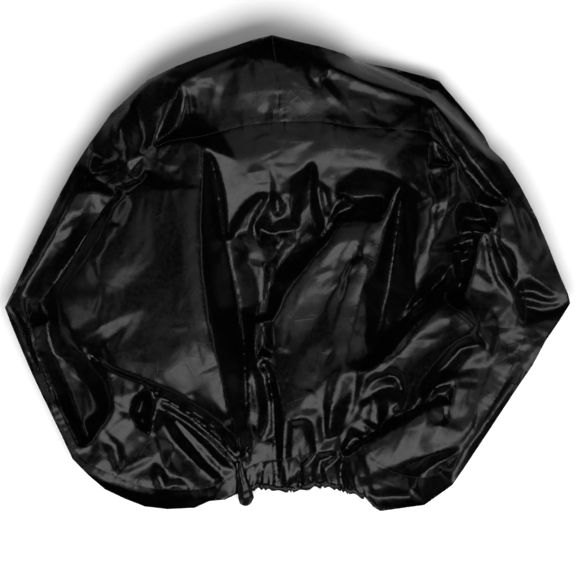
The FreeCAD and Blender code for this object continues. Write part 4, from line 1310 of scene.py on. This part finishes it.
def thread_material():
    """Black polyester thread: two twisted plies, a little paler than the cloth."""
    nodes = Nodes("polyester_thread", (0.012, 0.012, 0.013), 0.45)
    plies = nodes.wave("BANDS", "DIAGONAL", Scale=520.0, Distortion=0.3)
    nodes.feed("Base Color", nodes.mixed(plies, (0.006, 0.006, 0.007), (0.02, 0.02, 0.022)))
    nodes.feed("Roughness", nodes.ranged(plies, 0, 1, 0.52, 0.38))
    nodes.feed("Normal", nodes.bump(plies, 0.00008))
    return nodes.material


def elastic_material():
    """Knitted elastic: ribs along its length with darker grooves."""
    nodes = Nodes("knitted_elastic", (0.02, 0.02, 0.021), 0.7)
    ribs = nodes.wave("RINGS", "Z", Scale=300.0, Distortion=0.4)
    fuzz = nodes.noise(700.0, 3.0)
    both = nodes.maths("MULTIPLY", ribs, fuzz)
    nodes.feed("Base Color", nodes.mixed(both, (0.008, 0.008, 0.009), (0.04, 0.04, 0.042)))
    nodes.feed("Roughness", nodes.ranged(fuzz, 0.3, 0.7, 0.6, 0.85))
    nodes.feed("Normal", nodes.bump(both, 0.0002))
    return nodes.material


def floor_material():
    """A matt white studio surface with the faintest grain."""
    nodes = Nodes("pale_floor", (0.93, 0.93, 0.93), 0.7)
    grain = nodes.noise(40.0, 4.0)
    nodes.feed("Base Color", nodes.mixed(grain, (0.92, 0.92, 0.92), (0.94, 0.94, 0.94)))
    return nodes.material


# The two cloths: the colour where clean and where worn, and the roughness.
TAFFETA = ((0.0003, 0.0003, 0.0004), (0.001, 0.001, 0.0012), 0.27)
HEM_TAFFETA = ((0.001, 0.001, 0.0011), (0.003, 0.003, 0.0032), 0.34)
HEM_STITCH_BACK = 0.004  # how far inwards of the hem's middle its stitches lie
HEM_STITCH_UP = 0.0004


def dress(piece, material, replaced):
    """Gives a piece its material, hides the part it stands in for and hangs it on the root body."""
    piece.data.materials.append(material)
    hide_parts(replaced)
    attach(piece, "root")


def build_cover():
    """Every piece of the cover, in its material, in place of the part it stands in for."""
    points, heights, triangles, edge = cloth_surface()
    whole = np.column_stack([points, heights])
    face_part, left_part, right_part = split_cloth(points, triangles)
    under, hem = under_layer(whole[edge])
    rim = points[edge]
    on_left = left_half((rim + np.roll(rim, -1, axis=0)) / 2)
    face = mesh_piece("face_cloth", *used_only(list(whole), [tuple(t) for t in triangles[face_part]]))
    left = band_piece("band_cloth_left", whole, triangles[left_part], edge, under, on_left)
    right = band_piece("band_cloth_right", whole, triangles[right_part], edge, under, ~on_left)
    path, outs, length = hem_loop(hem)
    ruffle = hem_ruffle(path, outs, length)
    tab = hem_tab()
    for piece in (face, left, right, ruffle, tab):
        give_thickness(piece)
    taffeta = cloth_material("coated_taffeta", *TAFFETA)
    hem_cloth = cloth_material("hem_taffeta", *HEM_TAFFETA)
    dress(face, taffeta, "front_face_panel")
    dress(left, taffeta, "tread_band_left")
    dress(right, taffeta, "tread_band_right")
    dress(ruffle, hem_cloth, "hem_casing")
    dress(tab, hem_cloth, "hem_tab")
    thread = thread_material()
    ground = Ground(whole, triangles)
    rows = (
        ("face_stitches", np.concatenate([SEAM_LINE, SEAM_LINE[:1]]), "face_seam_thread"),
        ("crown_stitches", CROWN_LINE, "crown_seam_thread"),
        ("mouth_stitches", MOUTH_LINE, "mouth_seam_thread"),
    )
    for name, line, node in rows:
        places, ups = ground.laid(line, STITCH_RADIUS)
        dress(stitch_row(name, places, ups), thread, node)
    hem_top = path - outs * HEM_STITCH_BACK + np.array([0, 0, CASING_THICK + HEM_STITCH_UP])
    hem_ups = np.tile([0.0, 0.0, 1.0], (len(hem_top), 1))
    dress(stitch_row("hem_stitches", hem_top, hem_ups), thread, "hem_thread")
    dress(elastic_loop(path, outs), elastic_material(), "hem_elastic")
    dress(bar_tacks(path, outs), thread, "elastic_join_tacks")


def area_light(name, place, size, power):
    """A softbox that faces the middle of the floor."""
    data = bpy.data.lights.new(name, "AREA")
    data.shape = "RECTANGLE"
    data.size, data.size_y = size
    data.energy = power
    light = bpy.data.objects.new(name, data)
    light.location = place
    light.rotation_mode = "QUATERNION"
    light.rotation_quaternion = (-Vector(place)).to_track_quat("-Z", "Y")
    bpy.context.scene.collection.objects.link(light)


FLOOR_HALF = 4
LIGHTS = (  # name, place, width and depth, watts
    ("front_box", (0.3, -1.45, 2.9), (3.4, 1.5), 145),
    ("overhead_box", (0, 0.3, 3.8), (2.0, 2.0), 15),
    ("left_strip", (-2.3, 0.4, 1.9), (1.6, 0.5), 12),
    ("right_strip", (2.5, 0.2, 1.5), (1.8, 0.5), 10),
)
DIM = 0.012  # how bright the world behind the softboxes is


def build_studio():
    """A white floor, softboxes round the cover and a dim world."""
    corners = [(x * FLOOR_HALF, y * FLOOR_HALF, 0) for x, y in SQUARE]
    floor = mesh_piece("floor", corners, [(0, 1, 2, 3)], smooth=False)
    floor.data.materials.append(floor_material())
    for light in LIGHTS:
        area_light(*light)
    world = bpy.data.worlds.new("studio")
    bpy.context.scene.world = world
    world.use_nodes = True
    background = world.node_tree.nodes["Background"]
    background.inputs["Color"].default_value = (1, 1, 1, 1)
    background.inputs["Strength"].default_value = DIM
    bpy.context.scene.view_settings.view_transform = "Standard"


CAMERA_HEIGHT = 3.2
VIEW_WIDTH = 0.827
VIEW_SHIFT = Vector((0.0007, -0.0187, 0))
SENSOR = 36


def build_camera():
    """A camera straight above the cover, that sees it as the photograph does."""
    data = bpy.data.cameras.new("camera")
    data.sensor_width = SENSOR
    data.lens = data.sensor_width * CAMERA_HEIGHT / VIEW_WIDTH
    camera = bpy.data.objects.new("camera", data)
    camera.location = VIEW_SHIFT + Vector((0, 0, CAMERA_HEIGHT))
    bpy.context.scene.collection.objects.link(camera)
    bpy.context.scene.camera = camera


build_cover()
build_studio()
build_camera()
